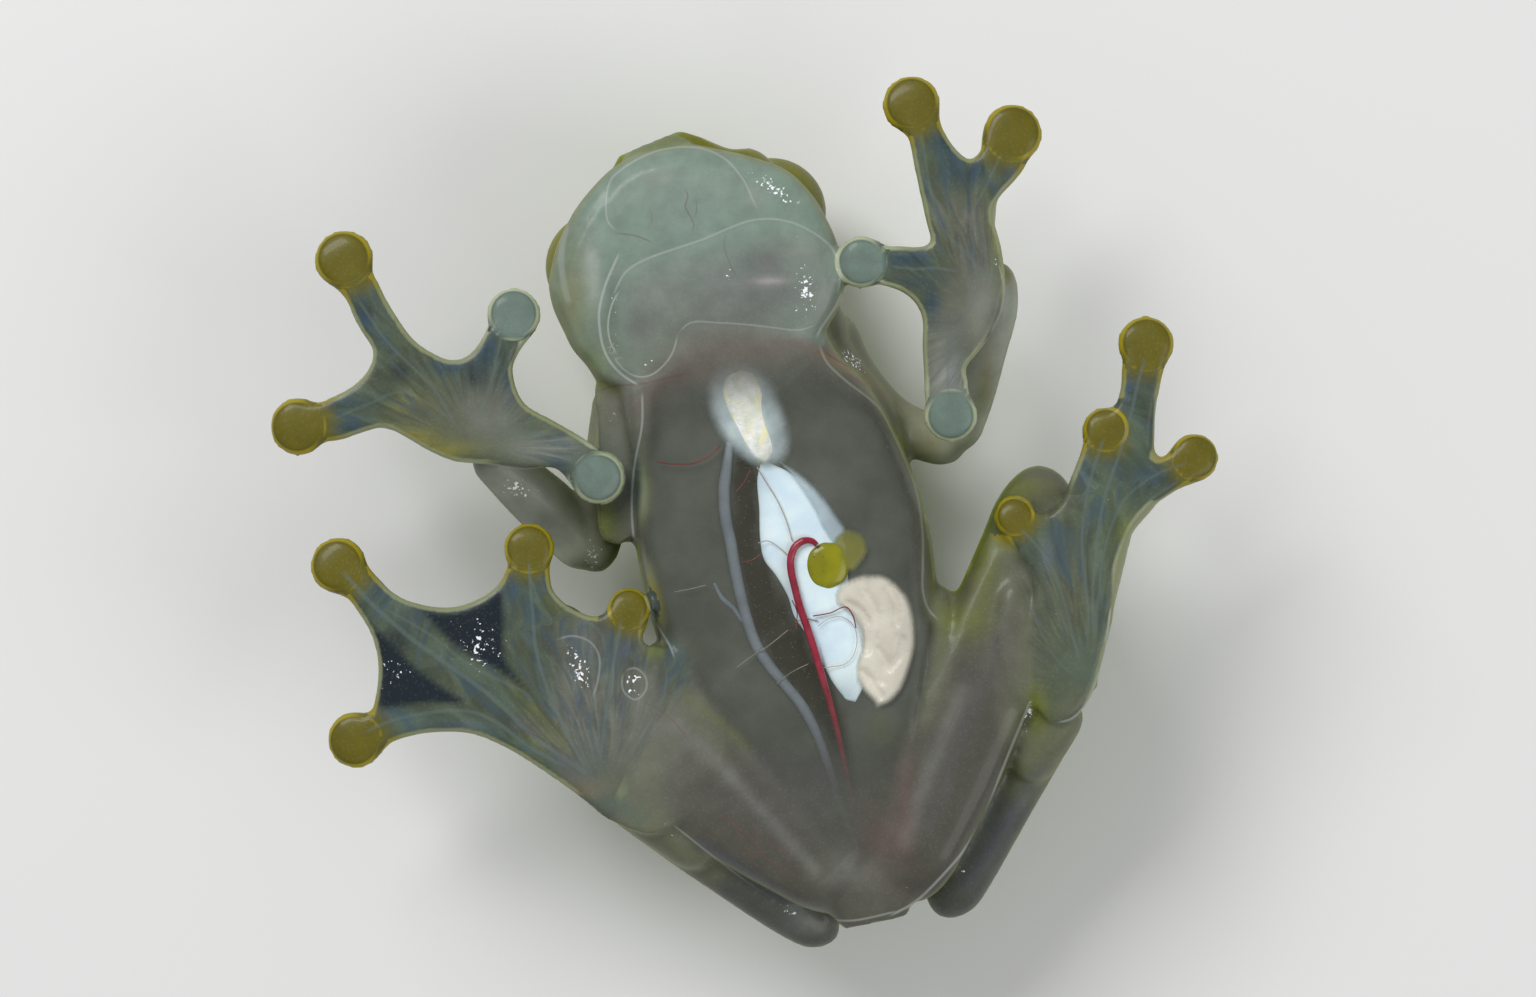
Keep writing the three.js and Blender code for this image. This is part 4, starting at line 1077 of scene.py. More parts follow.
# The rim of palms, soles and webs: how far inside the outline a point lies, how much of the rim shows and its
# tone. A disc has a rim of its own on its outer side.
def rimFields(at):
    reach = paint["reach"]
    edge = np.min([np.abs(gap) for gap in at.edges], axis=0)
    inWeb = np.max([gap < 0 for gap in at.edges], axis=0)
    onDisc = at.ratio < paint["discRim"]
    far, outer = paint["outerRim"]
    inner = np.clip(np.maximum(np.where(inWeb, edge, -edge), at.stem), -reach, reach)
    edge = np.where(onDisc | (at.ratio < far) & (at.outer > outer), reach, inner)
    share = at.flat * (1 - ease(at.depth, *paint["rimDepth"])) * paint["rimShare"]
    for x, y, wide, high in marks["noRim"]:
        away = np.hypot((at.pixels[:, 0] - x) / wide, (at.pixels[:, 1] - y) / high)
        share = share * (1 - ease(-away, *paint["noRimEdge"]))
    share = np.where(onDisc, at.outer * at.seen, share)
    rimTone = mixed(np.tile(tones["webRim"], (len(at.points), 1)), padTone(at, "padPaleRim", "padYellowRim"),
                    1 - ease(at.ratio, *paint["rimTone"]))
    return edge, share, rimTone


# The yellow-green back shows wherever the skin turns away from the plane, and above the mouth.
def paintBack(at, colour, web):
    high = np.maximum(ease(at.depth, *paint["mouthSide"]),
                      paint["lipShare"] * ease(at.depth, *paint["lipSide"]))
    low = ease(-at.up, *paint["side"]) * at.body * paint["sideShare"]
    colour = mixed(colour, tones["side"], np.maximum(low, at.shares["head"] * high))
    rest = 1 - paint["backFlat"]
    return mixed(colour, tones["back"], at.turned * (paint["backFlat"] + rest * at.body) * (1 - web))


# How near each point lies to a nostril, where the skin is dented and its dark is painted shade.
def nostrilShare(at):
    nostril = np.zeros(len(at.points))
    for aside in skull["nostrils"]:
        spot = np.array(place(*alongHead(skull["nostrilFar"], aside), skull["nostrilDepth"]))
        nostril = np.maximum(nostril, hump(np.linalg.norm(at.points - spot, axis=1), paint["nostril"]))
    return nostril


# Round the nearest hub of palm or sole: the angle, the distance, the hub's number and how much streaks show.
def fanFields(at, web):
    gap = at.pixels[:, None] - np.array(marks["hubs"])
    reach = np.linalg.norm(gap, axis=2)
    own = np.argmin(reach, axis=1)
    every = np.arange(len(at.points))
    angle = np.arctan2(gap[every, own, 0], -gap[every, own, 1])
    streaked = at.flat * at.seen * (1 - web) * (1 - ease(at.depth, *paint["fanDepth"]))
    streaked *= ease(at.ratio, *paint["fanDisc"])
    streaked *= ease(reach[every, own], *paint["fanFrom"])
    return np.column_stack((angle, reach[every, own] / paint["fanScale"], own, streaked))


# Paints the skin's attributes, and gives back what the relief is made from.
def paintSkin(mesh, points, shares):
    at = surveyed(mesh, points, shares)
    colour = sum(share[:, None] * tones[kind] for kind, share in shares.items())
    # Painted light: arms lying deep under the plane, in shade, are painted lighter
    low = ease(at.depth, *paint["deepArm"]) * (shares["upperArm"] + shares["forearm"]) * at.seen
    colour = mixed(colour, colour * paint["armPaintedLight"], low)
    window, clear, thin = windowFields(at)
    belly = ease(-window, *paint["bellyEdge"]) * at.seen * at.body * paint["bellyShare"]
    colour = paintMarks(at, mixed(colour, tones["belly"], belly))
    web = webShare(at)
    colour = paintDiscs(at, mixed(colour, tones["web"], web))
    edge, rimShare, rimTone = rimFields(at)
    # Painted shade: the nostrils are painted dark.
    at.nostril = nostrilShare(at)
    colour = mixed(paintBack(at, colour, web), tones["gap"], at.nostril)
    opacity = np.clip(1 - (1 - thin) * clear - paint["webClear"] * web, 0, 1)
    storeColour(mesh, "tone", np.column_stack((colour, opacity)))
    storeColour(mesh, "fan", fanFields(at, web))
    storeColour(mesh, "rimTone", np.column_stack((rimTone, at.ratio)))

    near = at.seen * (1 - ease(at.depth, *paint["lineDepth"]))
    gate = np.column_stack((np.ones(len(points)), near, np.ones(len(points)), near))
    # The pale lines of pressed edges are a painted highlight of the wet edge.
    for name in ("pressed", "tendon", "vessel"):
        storeColour(mesh, name + "Lines", dealtFields(at.pixels, marks[name]) * gate)
    # Painted highlights: where white glints are painted, kept in the wet attribute with the back's share, the
    # rim's share and the distance from the edge
    glint = np.zeros(len(points))
    for x, y, wide, high, turn, strength in marks["glints"]:
        glint = np.maximum(glint, strength * spotShare(at.pixels, x, y, wide, high, turn))
    storeColour(mesh, "wet", np.column_stack((glint * at.seen, at.turned * (1 - paint["flatBack"] * at.flat),
                                              rimShare, edge / paint["edgeScale"] + 0.5)))
    return at


# Which faces have a corner that isn't wholly solid.
def clearFaces(mesh):
    opacity = rowsOf(mesh.attributes["tone"].data, "color", 4)[:, 3]
    corners = rowsOf(mesh.loops, "vertex_index", 1, np.int64).ravel()
    starts = rowsOf(mesh.polygons, "loop_start", 1, np.int64).ravel()
    return np.minimum.reduceat(opacity[corners], starts) < 0.999


# Adds a shader node, makes its settings, links or sets the inputs named, and returns it.
def addNode(tree, kind, inputs=None, **settings):
    made = tree.nodes.new("ShaderNode" + kind)
    for name, value in settings.items():
        setattr(made, name, value)
    for name, value in (inputs or {}).items():
        if isinstance(value, bpy.types.NodeSocket):
            tree.links.new(value, made.inputs[name])
        else:
            made.inputs[name].default_value = value
    return made


def blend(tree, amount, a, b, kind="MIX"):
    colour = lambda c: c if isinstance(c, bpy.types.NodeSocket) else (*c, 1.0)
    inputs = {0: amount, 6: colour(a), 7: colour(b)}
    return addNode(tree, "Mix", inputs, data_type="RGBA", blend_type=kind).outputs[2]


def maths(tree, operation, *values):
    return addNode(tree, "Math", dict(enumerate(values)), operation=operation).outputs[0]


def times(tree, a, b):
    return maths(tree, "MULTIPLY", a, b)


def plus(tree, a, b):
    return maths(tree, "ADD", a, b)


# Goes evenly from one value to another while the input goes from low to high.
def ramp(tree, value, low, high, start=0.0, end=1.0):
    return addNode(tree, "MapRange", {"Value": value, "From Min": low, "From Max": high, "To Min": start,
                                      "To Max": end}).outputs[0]


# 1 below `low`, 0 above `high`, smooth between them.
def fade(tree, value, low, high):
    faded = ramp(tree, value, low, high, 1.0, 0.0)
    faded.node.interpolation_type = "SMOOTHSTEP"
    return faded


def held(tree, name):
    return addNode(tree, "Attribute", attribute_name=name).outputs


def split(tree, colour):
    return addNode(tree, "SeparateColor", {0: colour}).outputs


def grey(tree, value):
    return addNode(tree, "CombineColor", {0: value, 1: value, 2: value}).outputs[0]


def objectPlace(tree):
    return addNode(tree, "TexCoord").outputs["Object"]


def noise(tree, spot, scale, detail, **more):
    inputs = {"Vector": spot, "Scale": scale, "Detail": detail, **more}
    return addNode(tree, "TexNoise", inputs).outputs


def cellDistance(tree, spot, scale, **more):
    return addNode(tree, "TexVoronoi", {"Vector": spot, "Scale": scale, **more}).outputs["Distance"]


def newGroup(name, inputs, outputs):
    tree = bpy.data.node_groups.new(name, "ShaderNodeTree")
    for label, value in inputs:
        tree.interface.new_socket(label, in_out="INPUT", socket_type="NodeSocketFloat").default_value = value
    for label in outputs:
        tree.interface.new_socket(label, in_out="OUTPUT", socket_type="NodeSocketFloat")
    return tree, tree.nodes.new("NodeGroupInput").outputs, tree.nodes.new("NodeGroupOutput").inputs


# Wet flesh: soft mottling, a fine grain of dots, and the height of both. Sizes are in dots for a metre.
def makeFleshGrain():
    tree, given, result = newGroup("fleshGrain", [("Mottle", 900.0), ("Dots", 9000.0), ("Dot size", 0.25)],
                                   ["Mottle", "Dots", "Height"])
    spot = objectPlace(tree)
    soft = noise(tree, spot, given["Mottle"], 4.0)["Fac"]
    dots = ramp(tree, cellDistance(tree, spot, given["Dots"]), 0.0, given["Dot size"], 1.0, 0.0)
    height = plus(tree, soft, times(tree, dots, 0.25))
    for label, value in (("Mottle", soft), ("Dots", dots), ("Height", height)):
        tree.links.new(value, result[label])
    return tree


# How much of a line shows, from its signed distance over its half width and its strength.
def makeSkinLine():
    tree, given, result = newGroup("skinLine", [("Signed", 9.0), ("Near", 0.0)], ["Mask"])
    away = maths(tree, "ABSOLUTE", given["Signed"])
    tree.links.new(times(tree, fade(tree, away, 0.5, 1.6), given["Near"]), result["Mask"])
    return tree


fleshGrain = makeFleshGrain()
skinLine = makeSkinLine()


# Short names of the shader's inputs.
surface = {"rough": "Roughness", "mirror": "Specular IOR Level", "coat": "Coat Weight",
           "coatRough": "Coat Roughness", "opacity": "Alpha"}


# A new material with its node tree and its shader's inputs, of which those named are set.
def newMaterial(name, **inputs):
    material = bpy.data.materials.new(name)
    material.use_nodes = True
    shader = material.node_tree.nodes["Principled BSDF"].inputs
    for label, value in inputs.items():
        shader[surface[label]].default_value = value
    return material, material.node_tree, shader


def linkBump(tree, shader, height, distance, strength):
    bump = addNode(tree, "Bump", {"Height": height, "Distance": distance, "Strength": strength})
    tree.links.new(bump.outputs[0], shader["Normal"])


# The stronger of the two sets of lines an attribute holds.
def lineMask(tree, name):
    lines = held(tree, name)
    parts = split(tree, lines["Color"])
    masks = [addNode(tree, "Group", {"Signed": signed, "Near": near}, node_tree=skinLine).outputs["Mask"]
             for signed, near in ((parts[0], parts[1]), (parts[2], lines["Alpha"]))]
    return maths(tree, "MAXIMUM", *masks)


# The skin's shader. Scales are in dots for a metre, a pair is where a share starts and where it is full, and
# a tone is linear.
wetLook = {
    "mottle": 1500.0, "mottleRange": (0.3, 0.7, 0.88, 1.12),
    "dots": 8000.0, "dotRange": (0.15, 0.4), "dotShare": 0.03, "dotTone": (0.5, 0.55, 0.5),
    "fanScale": (11.0, 1.9, 7.0), "fanPale": (0.35, 0.65, 0.74, 1.28),
    "fanBlue": (0.52, 0.66), "blueShare": 0.5, "blueTone": (0.035, 0.07, 0.11),
    "backDots": 1150.0, "backSpread": 0.85, "backRange": (0.18, 0.27), "backTone": (0.62, 0.56, 0.06),
    "webRim": (4.6, 2.2),                                # pixels inside the outline
    "ring": (0.84, 0.9, 1.0, 1.06), "groove": (0.77, 0.82, 0.82, 0.87),    # radii of a disc
    # the dark line in a disc's groove is painted shade
    "grooveShadeShare": 0.2, "grooveShadeTone": (0.03, 0.035, 0.0),
    "tendon": (0.55, (0.11, 0.145, 0.14)), "vessel": (0.8, (0.13, 0.055, 0.05)),
    # the pale line of a pressed edge is a painted highlight of the wet edge
    "pressed": (0.68, (0.4, 0.43, 0.41)),
    # painted highlights: white glints of the wet skin, painted into the colour
    "glintNoise": 8500.0, "glintShare": 0.29, "glintRange": (0.8, 0.84), "glintTone": (0.9, 0.93, 0.95),
    "dotHeight": 0.2, "grooveHeight": -0.3, "edgeHeight": 1.2, "bump": (0.00003, 0.4),
    "gloss": {"rough": 0.5, "mirror": 0.3, "coat": 0.16, "coatRough": 0.14},
}


# A band of a value: it rises between the first two limits and falls smoothly between the other two.
def band(tree, value, limits):
    return times(tree, ramp(tree, value, *limits[:2]), fade(tree, value, *limits[2:]))


# Fine streaks that fan out over palms and soles, some of them blue.
def fanStreaks(tree, colour):
    w = wetLook
    fan = held(tree, "fan")
    spread = addNode(tree, "Mapping", {"Vector": fan["Color"], "Scale": w["fanScale"]}).outputs[0]
    streaks = split(tree, noise(tree, spread, 1.0, 3.0, Distortion=0.9)["Color"])
    paler = grey(tree, ramp(tree, streaks[0], *w["fanPale"]))
    colour = blend(tree, fan["Alpha"], colour, blend(tree, 1.0, colour, paler, "MULTIPLY"))
    bluer = ramp(tree, streaks[1], *w["fanBlue"])
    return blend(tree, times(tree, times(tree, bluer, w["blueShare"]), fan["Alpha"]), colour, w["blueTone"])


def makeSkinMaterial(name, clear):
    w = wetLook
    material, tree, shader = newMaterial(name, **w["gloss"])
    base, rim, wet = (held(tree, label) for label in ("tone", "rimTone", "wet"))
    share = split(tree, wet["Color"])
    spot = objectPlace(tree)
    mottle = noise(tree, spot, w["mottle"], 4.0, Roughness=0.6)["Fac"]
    colour = blend(tree, 1.0, base["Color"], grey(tree, ramp(tree, mottle, *w["mottleRange"])), "MULTIPLY")
    dots = fade(tree, cellDistance(tree, spot, w["dots"]), *w["dotRange"])
    colour = blend(tree, times(tree, dots, w["dotShare"]), colour, w["dotTone"])
    colour = fanStreaks(tree, colour)

    # Yellow dots on the lime-green back
    backCells = cellDistance(tree, spot, w["backDots"], Randomness=w["backSpread"])
    backDots = times(tree, fade(tree, backCells, *w["backRange"]), share[1])
    colour = blend(tree, backDots, colour, w["backTone"])

    # The rim of palms, soles and webs, and of each disc with a dark line inside it, painted shade in the
    # disc's groove
    inside = [0.5 + pixels / paint["edgeScale"] for pixels in w["webRim"]]
    colour = blend(tree, times(tree, ramp(tree, wet["Alpha"], *inside), share[2]), colour, rim["Color"])
    colour = blend(tree, times(tree, band(tree, rim["Alpha"], w["ring"]), share[2]), colour, rim["Color"])
    groove = band(tree, rim["Alpha"], w["groove"])
    grooveShadeMask = times(tree, times(tree, groove, w["grooveShadeShare"]), share[2])
    colour = blend(tree, grooveShadeMask, colour, w["grooveShadeTone"])

    # Tendons, fine vessels, and the painted highlight along pressed edges
    masks = {line: lineMask(tree, line + "Lines") for line in ("tendon", "vessel", "pressed")}
    for line, mask in masks.items():
        colour = blend(tree, times(tree, mask, w[line][0]), colour, w[line][1])

    # Painted highlights: white glints of the wet skin, where a fine noise passes a limit that falls as the
    # share grows
    fine = noise(tree, spot, w["glintNoise"], 2.0, Roughness=0.6)["Fac"]
    passed = plus(tree, fine, times(tree, share[0], w["glintShare"]))
    colour = blend(tree, ramp(tree, passed, *w["glintRange"]), colour, w["glintTone"])
    tree.links.new(colour, shader["Base Color"])
    if clear:
        tree.links.new(base["Alpha"], shader["Alpha"])

    height = plus(tree, mottle, times(tree, dots, w["dotHeight"]))
    height = plus(tree, height, times(tree, groove, w["grooveHeight"]))
    height = plus(tree, height, times(tree, masks["pressed"], w["edgeHeight"]))
    linkBump(tree, shader, height, *w["bump"])
    return material


skin = {
    "cube": 0.142,    # edge of the grid cubes the forms are joined on
    "rounds": 9,
    "crease": 0.05,                     # depth of the fold beside each contact line
    "creaseHalf": 4.5,                  # its half width, in pixels
    "creaseFacing": (0.2, 0.6),
    "mouthCut": 0.14,                   # depth of the mouth line
    "mouthHalf": 0.14,                  # its half width
    "mouthFacing": (0.75, 0.95),        # how far the skin faces up before the line ends
    "nostrilPit": 0.16,
}


# The finished relief: a fold beside each contact line, the line of the mouth and the nostrils.
def pressed(mesh, at):
    fold = np.zeros(len(at.points))
    for strength, _, line in marks["pressed"]:
        away = lineDistance(at.pixels, smoothLine(line), 3 * skin["creaseHalf"])
        fold = np.maximum(fold, strength * hump(away, skin["creaseHalf"]))
    mouth = hump(at.depth - skull["mouth"], skin["mouthHalf"]) * at.shares["head"]
    mouth = mouth * (1 - ease(at.up, *skin["mouthFacing"]))
    away = skin["mouthCut"] * mouth + skin["nostrilPit"] * at.nostril
    points = at.points - normalsOf(mesh) * away[:, None]
    points[:, 2] -= (skin["crease"] * fold * ease(at.up, *skin["creaseFacing"])
                     * (1 - ease(at.depth, *paint["lineDepth"])))
    points[:, 2] = np.clip(points[:, 2], 0, pane)
    return points


# Every closed solid that the skin is joined from.
def skinSolids():
    out = [flesh(form["stations"], **form.get("shape", {})) for form in forms]
    for side in ("right", "left"):
        middle = np.array(place(*eye[side])) + gaze(side) * eye["lidBack"]
        out.append(ball(middle, eye["radius"] + eye["lid"]))
    out += [slab(outline, 0.0, flats["web"]) for outline in outlines.values()]
    out += [slab(outline, depth, thick) for outline, depth, thick in bridges.values()]
    out += [slab(skull["jaw"], depth, skull["jawThick"] - depth, inset) for inset, depth in skull["rim"]]
    top = skull["underTop"]
    return out + [slab(skull["jaw"], top, depth - top, inset) for inset, depth in skull["under"]]


def buildSkin():
    piece, mesh, points = fused("frogSkin", skinSolids(), skin["cube"], skin["rounds"])
    points[:, 2] = np.clip(points[:, 2], 0, pane)
    movePoints(mesh, points)
    print("skin: points", len(mesh.vertices), "faces", len(mesh.polygons))
    at = paintSkin(mesh, points, regionShares(points))
    movePoints(mesh, pressed(mesh, at))
    mesh.materials.append(makeSkinMaterial("wetSkin", False))
    mesh.materials.append(makeSkinMaterial("clearSkin", True))
    mesh.polygons.foreach_set("material_index", clearFaces(mesh).astype(np.int32))
    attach(piece, "root")
    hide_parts(*[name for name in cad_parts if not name.startswith("eye")])


# What lies under the clear belly, in pixels of the photograph, with depths under the plane in millimetres.
organs = {
    # pads: left and right edge, depth of the rim, rise above and depth below it, pixels over which the
    # edge turns solid, opacity and grooves
    "heartSac": {
        "left": [(735, 352), (712, 364), (702, 386), (704, 410), (712, 430), (726, 450), (746, 466),
            (766, 474)],
        "right": [(735, 352), (758, 358), (774, 374), (785, 400), (793, 424), (795, 446), (787, 464),
            (766, 474)],
        "rim": 0.5, "rise": 0.3, "below": 0.5, "soft": 16, "opacity": 0.8, "material": "pearlySac",
    },
    "heart": {
        "left": [(738, 367), (722, 376), (719, 391), (723, 409), (731, 426), (741, 444), (752, 458),
            (764, 466)],
        "right": [(744, 366), (757, 372), (765, 389), (767, 408), (771, 424), (776, 440), (776, 454),
            (766, 466)],
        "rim": 0.42, "rise": 0.28, "below": 0.3, "soft": 5, "material": "goldenHeart",
    },
    "liver": {
        "left": [(760, 464), (757, 480), (759, 509), (760, 540), (764, 560), (776, 576), (788, 597),
            (794, 616), (806, 634), (818, 656), (832, 680), (846, 700)],
        "right": [(768, 462), (789, 472), (808, 488), (824, 506), (837, 526), (846, 548), (848, 575),
            (852, 600), (862, 620), (866, 650), (866, 680), (856, 702)],
        "rim": 0.55, "rise": 0.25, "below": 0.5, "material": "whiteLiver", "rows": 80,
    },
    "liverLobe": {
        "left": [(838, 612), (822, 624), (817, 642), (822, 660), (831, 680), (845, 699)],
        "right": [(838, 612), (855, 622), (863, 640), (864, 660), (860, 682), (848, 700)],
        "rim": 0.52, "rise": 0.22, "below": 0.3, "material": "whiteLiver",
    },
    "liverShade": {
        "left": [(776, 461), (787, 474), (800, 492), (812, 512), (822, 532), (832, 548)],
        "right": [(782, 460), (803, 474), (822, 492), (837, 512), (848, 532), (838, 550)],
        "rim": 0.42, "rise": 0.12, "below": 0.2, "soft": 7, "opacity": 0.85, "material": "veiledLiver",
    },
    "gallBladder": {
        "left": [(822, 541), (808, 553), (806, 568), (813, 583), (829, 590)],
        "right": [(822, 541), (842, 546), (849, 562), (845, 580), (829, 590)],
        "rim": 0.45, "rise": 0.28, "below": 0.4, "material": "yellowGall",
    },
    "gallLobe": {
        "left": [(846, 526), (833, 536), (832, 558), (846, 574)],
        "right": [(848, 526), (864, 533), (870, 551), (856, 573)], "rim": 0.42, "rise": 0.18, "below": 0.3,
        "soft": 7, "opacity": 0.75, "material": "veiledGall",
    },
    "gut": {
        "left": [(862, 572), (843, 580), (833, 592), (834, 606), (848, 616), (857, 630), (858, 648),
            (852, 668), (858, 688), (872, 704)],
        "right": [(862, 572), (884, 573), (900, 584), (912, 600), (917, 622), (918, 646), (912, 670),
            (904, 690), (892, 704), (876, 711)],
        "rim": 0.5, "rise": 0.3, "below": 0.6, "soft": 9, "material": "paleGut", "rows": 96, "sides": 88,
        "grooves": [
            [(866, 594), (876, 612), (874, 632), (867, 650)],
            [(848, 604), (860, 610), (868, 622)],
            [(888, 588), (897, 606), (895, 624)],
            [(878, 650), (886, 664), (881, 682)],
            [(903, 640), (899, 656), (890, 668)],
            [(862, 672), (872, 682), (880, 696)],
        ],
    },
    # tubes: half width in millimetres at shares of the length, depth of the middle, line
    "redVein": {
        "half": [(0.0, 0.075), (0.1, 0.118), (0.6, 0.115), (1.0, 0.05)],
        "depth": 0.19,
        "line": [(817, 545), (812, 541), (803, 541), (795, 547), (791, 557), (791, 570), (795, 588),
            (800, 607), (808, 630), (815, 652), (822, 676), (831, 706), (840, 742), (847, 776), (855, 815)],
        "material": "redVein",
    },
    "blueVein": {
        "half": [(0.0, 0.12), (0.1, 0.18), (0.7, 0.17), (1.0, 0.1)],
        "depth": 0.5,
        "line": [(730, 442), (727, 466), (724, 492), (726, 520), (731, 544), (735, 568), (740, 592),
            (746, 616), (755, 642), (768, 664), (786, 686), (802, 706), (816, 732), (830, 770), (843, 812),
            (862, 858)],
        "material": "blueVein",
    },
    "branch": {
        "half": [(0.0, 0.05), (0.5, 0.09), (1.0, 0.07)], "depth": 0.52,
        "line": [(714, 583), (722, 598), (733, 608), (743, 622)], "material": "blueVein",
    },
}
# The flesh round the organs, its brown strip, the heart's gold leaf and the fine threads.
inside = {
    # how far it lies inside the skin, its top's depth, its lowest level, and its first station:
    # distance in front of the neck, depth, half width and half height
    "flesh": {
        "inset": 0.22, "top": 0.5, "floor": 0.4, "throat": (2.2, 3.3, 2.8, 2.8),
        "shape": {"power": 2.35, "topPower": 9.0, "flat": True, "sides": 96, "steps": 120},
    },
    "strip": {
        "outline": [(742, 448), (758, 470), (760, 540), (776, 580), (792, 612), (812, 650), (832, 690),
            (848, 740), (852, 790), (826, 740), (800, 700), (772, 664), (752, 624), (738, 570), (731, 520),
            (732, 470)],
        "edge": (-4, 5), "grain": (2200.0, 8000.0, 0.2), "dotShare": 0.6,
        "tones": [(44, 43, 36), (124, 118, 98)],
    },
    "goldLeaf": {
        "turn": (0, 0, -0.35), "stretch": (3.0, 0.8, 1.0), "scale": 1500.0, "range": (0.5, 0.66),
        "tone": (192, 190, 158),
    },
    # pixels up to which soft edges are measured, and the gut's grooves
    "softReach": 30, "groove": {"reach": 14, "deep": 0.1, "half": 4.0},
    # depth of each kind of thread
    "threadDepths": {"red": 0.24, "dark": 0.52, "pale": 0.3, "tan": 0.24},
    # kind, half width in millimetres, line
    "threads": [
        ("red", 0.025, [(720, 446), (710, 455), (694, 463), (673, 464), (657, 462)]),
        ("red", 0.02, [(813, 616), (830, 613), (846, 607), (853, 616), (856, 628)]),
        ("tan", 0.018, [(757, 467), (766, 482), (776, 498), (786, 520), (792, 540)]),
        ("tan", 0.014, [(792, 560), (780, 548), (768, 541), (758, 543)]),
        ("red", 0.014, [(741, 562), (752, 560), (762, 553)]),
        ("red", 0.016, [(792, 600), (797, 612), (796, 628)]),
        ("red", 0.014, [(750, 470), (744, 482), (736, 492)]),
        ("tan", 0.012, [(818, 626), (828, 619), (842, 617), (853, 625), (857, 640), (853, 656), (845, 664),
            (830, 667), (820, 668)]),
        ("dark", 0.016, [(776, 415), (800, 411), (825, 409)]),
        ("dark", 0.016, [(830, 442), (855, 443), (888, 441)]),
        ("dark", 0.014, [(820, 470), (838, 492), (846, 516)]),
        ("dark", 0.014, [(862, 494), (852, 508), (846, 520)]),
        ("dark", 0.014, [(650, 520), (676, 524), (700, 522)]),
        ("dark", 0.014, [(704, 590), (726, 574), (744, 566)]),
        ("dark", 0.013, [(896, 480), (884, 500), (880, 520)]),
        ("dark", 0.013, [(700, 500), (690, 520), (684, 548)]),
        ("dark", 0.013, [(870, 460), (874, 476), (868, 492)]),
        ("pale", 0.016, [(674, 592), (690, 589), (706, 585)]),
        ("pale", 0.014, [(760, 652), (772, 643), (788, 630)]),
        ("pale", 0.014, [(736, 668), (752, 656), (764, 648)]),
        ("pale", 0.013, [(776, 684), (792, 672), (808, 664)]),
        ("pale", 0.016, [(795, 622), (806, 619), (818, 621)]),
    ],
}
# Tones of each soft material, and what else differs from the plain one.
softLooks = {
    "innerFlesh": {
        "tones": [(67, 70, 64), (79, 82, 75)], "mottle": 700.0, "dots": 7000.0, "dotSize": 0.2,
        "dotTone": (96, 98, 88), "dotShare": 0.25, "rough": 0.45, "bumpy": 0.6,
    },
    "pearlySac": {"tones": [(168, 180, 180), (146, 158, 160)], "mottle": 1800.0, "rough": 0.3},
    "goldenHeart": {
        "tones": [(206, 213, 202), (172, 178, 164)], "mottle": 3000.0, "dots": 7500.0, "dotSize": 0.3,
        "dotTone": (230, 230, 200), "dotShare": 0.4, "rough": 0.2, "bumpy": 1.0,
    },
    "whiteLiver": {
        "tones": [(180, 194, 201), (166, 183, 192)], "mottle": 1200.0, "dotSize": 0.2,
        "dotTone": (185, 190, 190), "dotShare": 0.2, "rough": 0.4, "bumpy": 0.4,
    },
    "veiledLiver": {"tones": [(148, 161, 167), (138, 152, 158)], "mottle": 1400.0},
    "yellowGall": {
        "tones": [(120, 119, 28), (102, 101, 20)], "dots": 5200.0, "dotSize": 0.26, "dotTone": (50, 50, 10),
        "dotShare": 0.6, "rough": 0.25,
    },
    "veiledGall": {"tones": [(116, 116, 56), (106, 108, 54)]},
    "paleGut": {
        "tones": [(176, 172, 160), (158, 154, 142)], "mottle": 900.0, "dots": 8000.0,
        "dotTone": (190, 186, 176), "dotShare": 0.35, "rough": 0.45, "bumpy": 0.9,
    },
    "redVein": {"tones": [(124, 44, 58), (108, 32, 44)], "mottle": 2400.0, "rough": 0.2},
    "blueVein": {
        "tones": [(122, 130, 136), (110, 118, 124)], "mottle": 1400.0, "rough": 0.4, "opacity": 0.72,
    },
    "redThreads": {"tones": [(110, 52, 50), (96, 44, 44)], "mottle": 3000.0},
    "darkThreads": {"tones": [(40, 42, 38), (46, 48, 44)], "mottle": 3000.0},
    "paleThreads": {"tones": [(120, 118, 108), (106, 104, 96)], "mottle": 3000.0},
    "tanThreads": {"tones": [(150, 138, 124), (134, 122, 110)], "mottle": 3000.0},
}
plainSoft = {
    "mottle": 1500.0, "dots": 9000.0, "dotSize": 0.25, "dotTone": None, "bumpy": 0.5,
    "rough": 0.35, "opacity": 1.0, "mirror": 0.3, "coat": 0.25, "coatRough": 0.15,
}


# Pixels with a depth for each, as places in the frame.
def under(pixels, depth):
    pixels = np.asarray(pixels, float)
    depth = np.broadcast_to(depth, pixels.shape[:-1]).ravel()
    return fromPhoto(pixels.reshape(-1, 2), depth).reshape(*pixels.shape[:-1], 3)


# A soft pad between two edges. Each ring goes from the left edge over the top to the right edge and back
# below: across it a point lies at -cos(angle), and its height is sin(angle)^0.7 times the rise, which falls
# to 0 at both ends of the pad as the chord of a circle does.
def cushion(p):
    left, right = (smoothLine(p[edge], p.get("rows", 56)) for edge in ("left", "right"))
    angle = np.linspace(0, 2 * np.pi, p.get("sides", 52), endpoint=False)
    middle, half = (left + right) / 2, (right - left) / 2
    rings = middle[:, None] - half[:, None] * np.cos(angle)[None, :, None]
    wide = np.linalg.norm(half, axis=1)
    fullness = np.sqrt(np.clip(wide / wide.max(), 0, 1))[:, None]
    wave = np.sin(angle)
    swell = np.sign(wave) * np.abs(wave) ** 0.7
    depth = p["rim"] - np.where(wave > 0, p["rise"], p["below"]) * swell * fullness
    if "grooves" in p:
        groove = inside["groove"]
        flat = rings.reshape(-1, 2)
        away = np.min([lineDistance(flat, smoothLine(line), groove["reach"])
                       for line in p["grooves"]], axis=0)
        depth = depth + groove["deep"] * hump(away.reshape(depth.shape), groove["half"]) * (wave > 0.05)
    return tube(under(rings, depth))


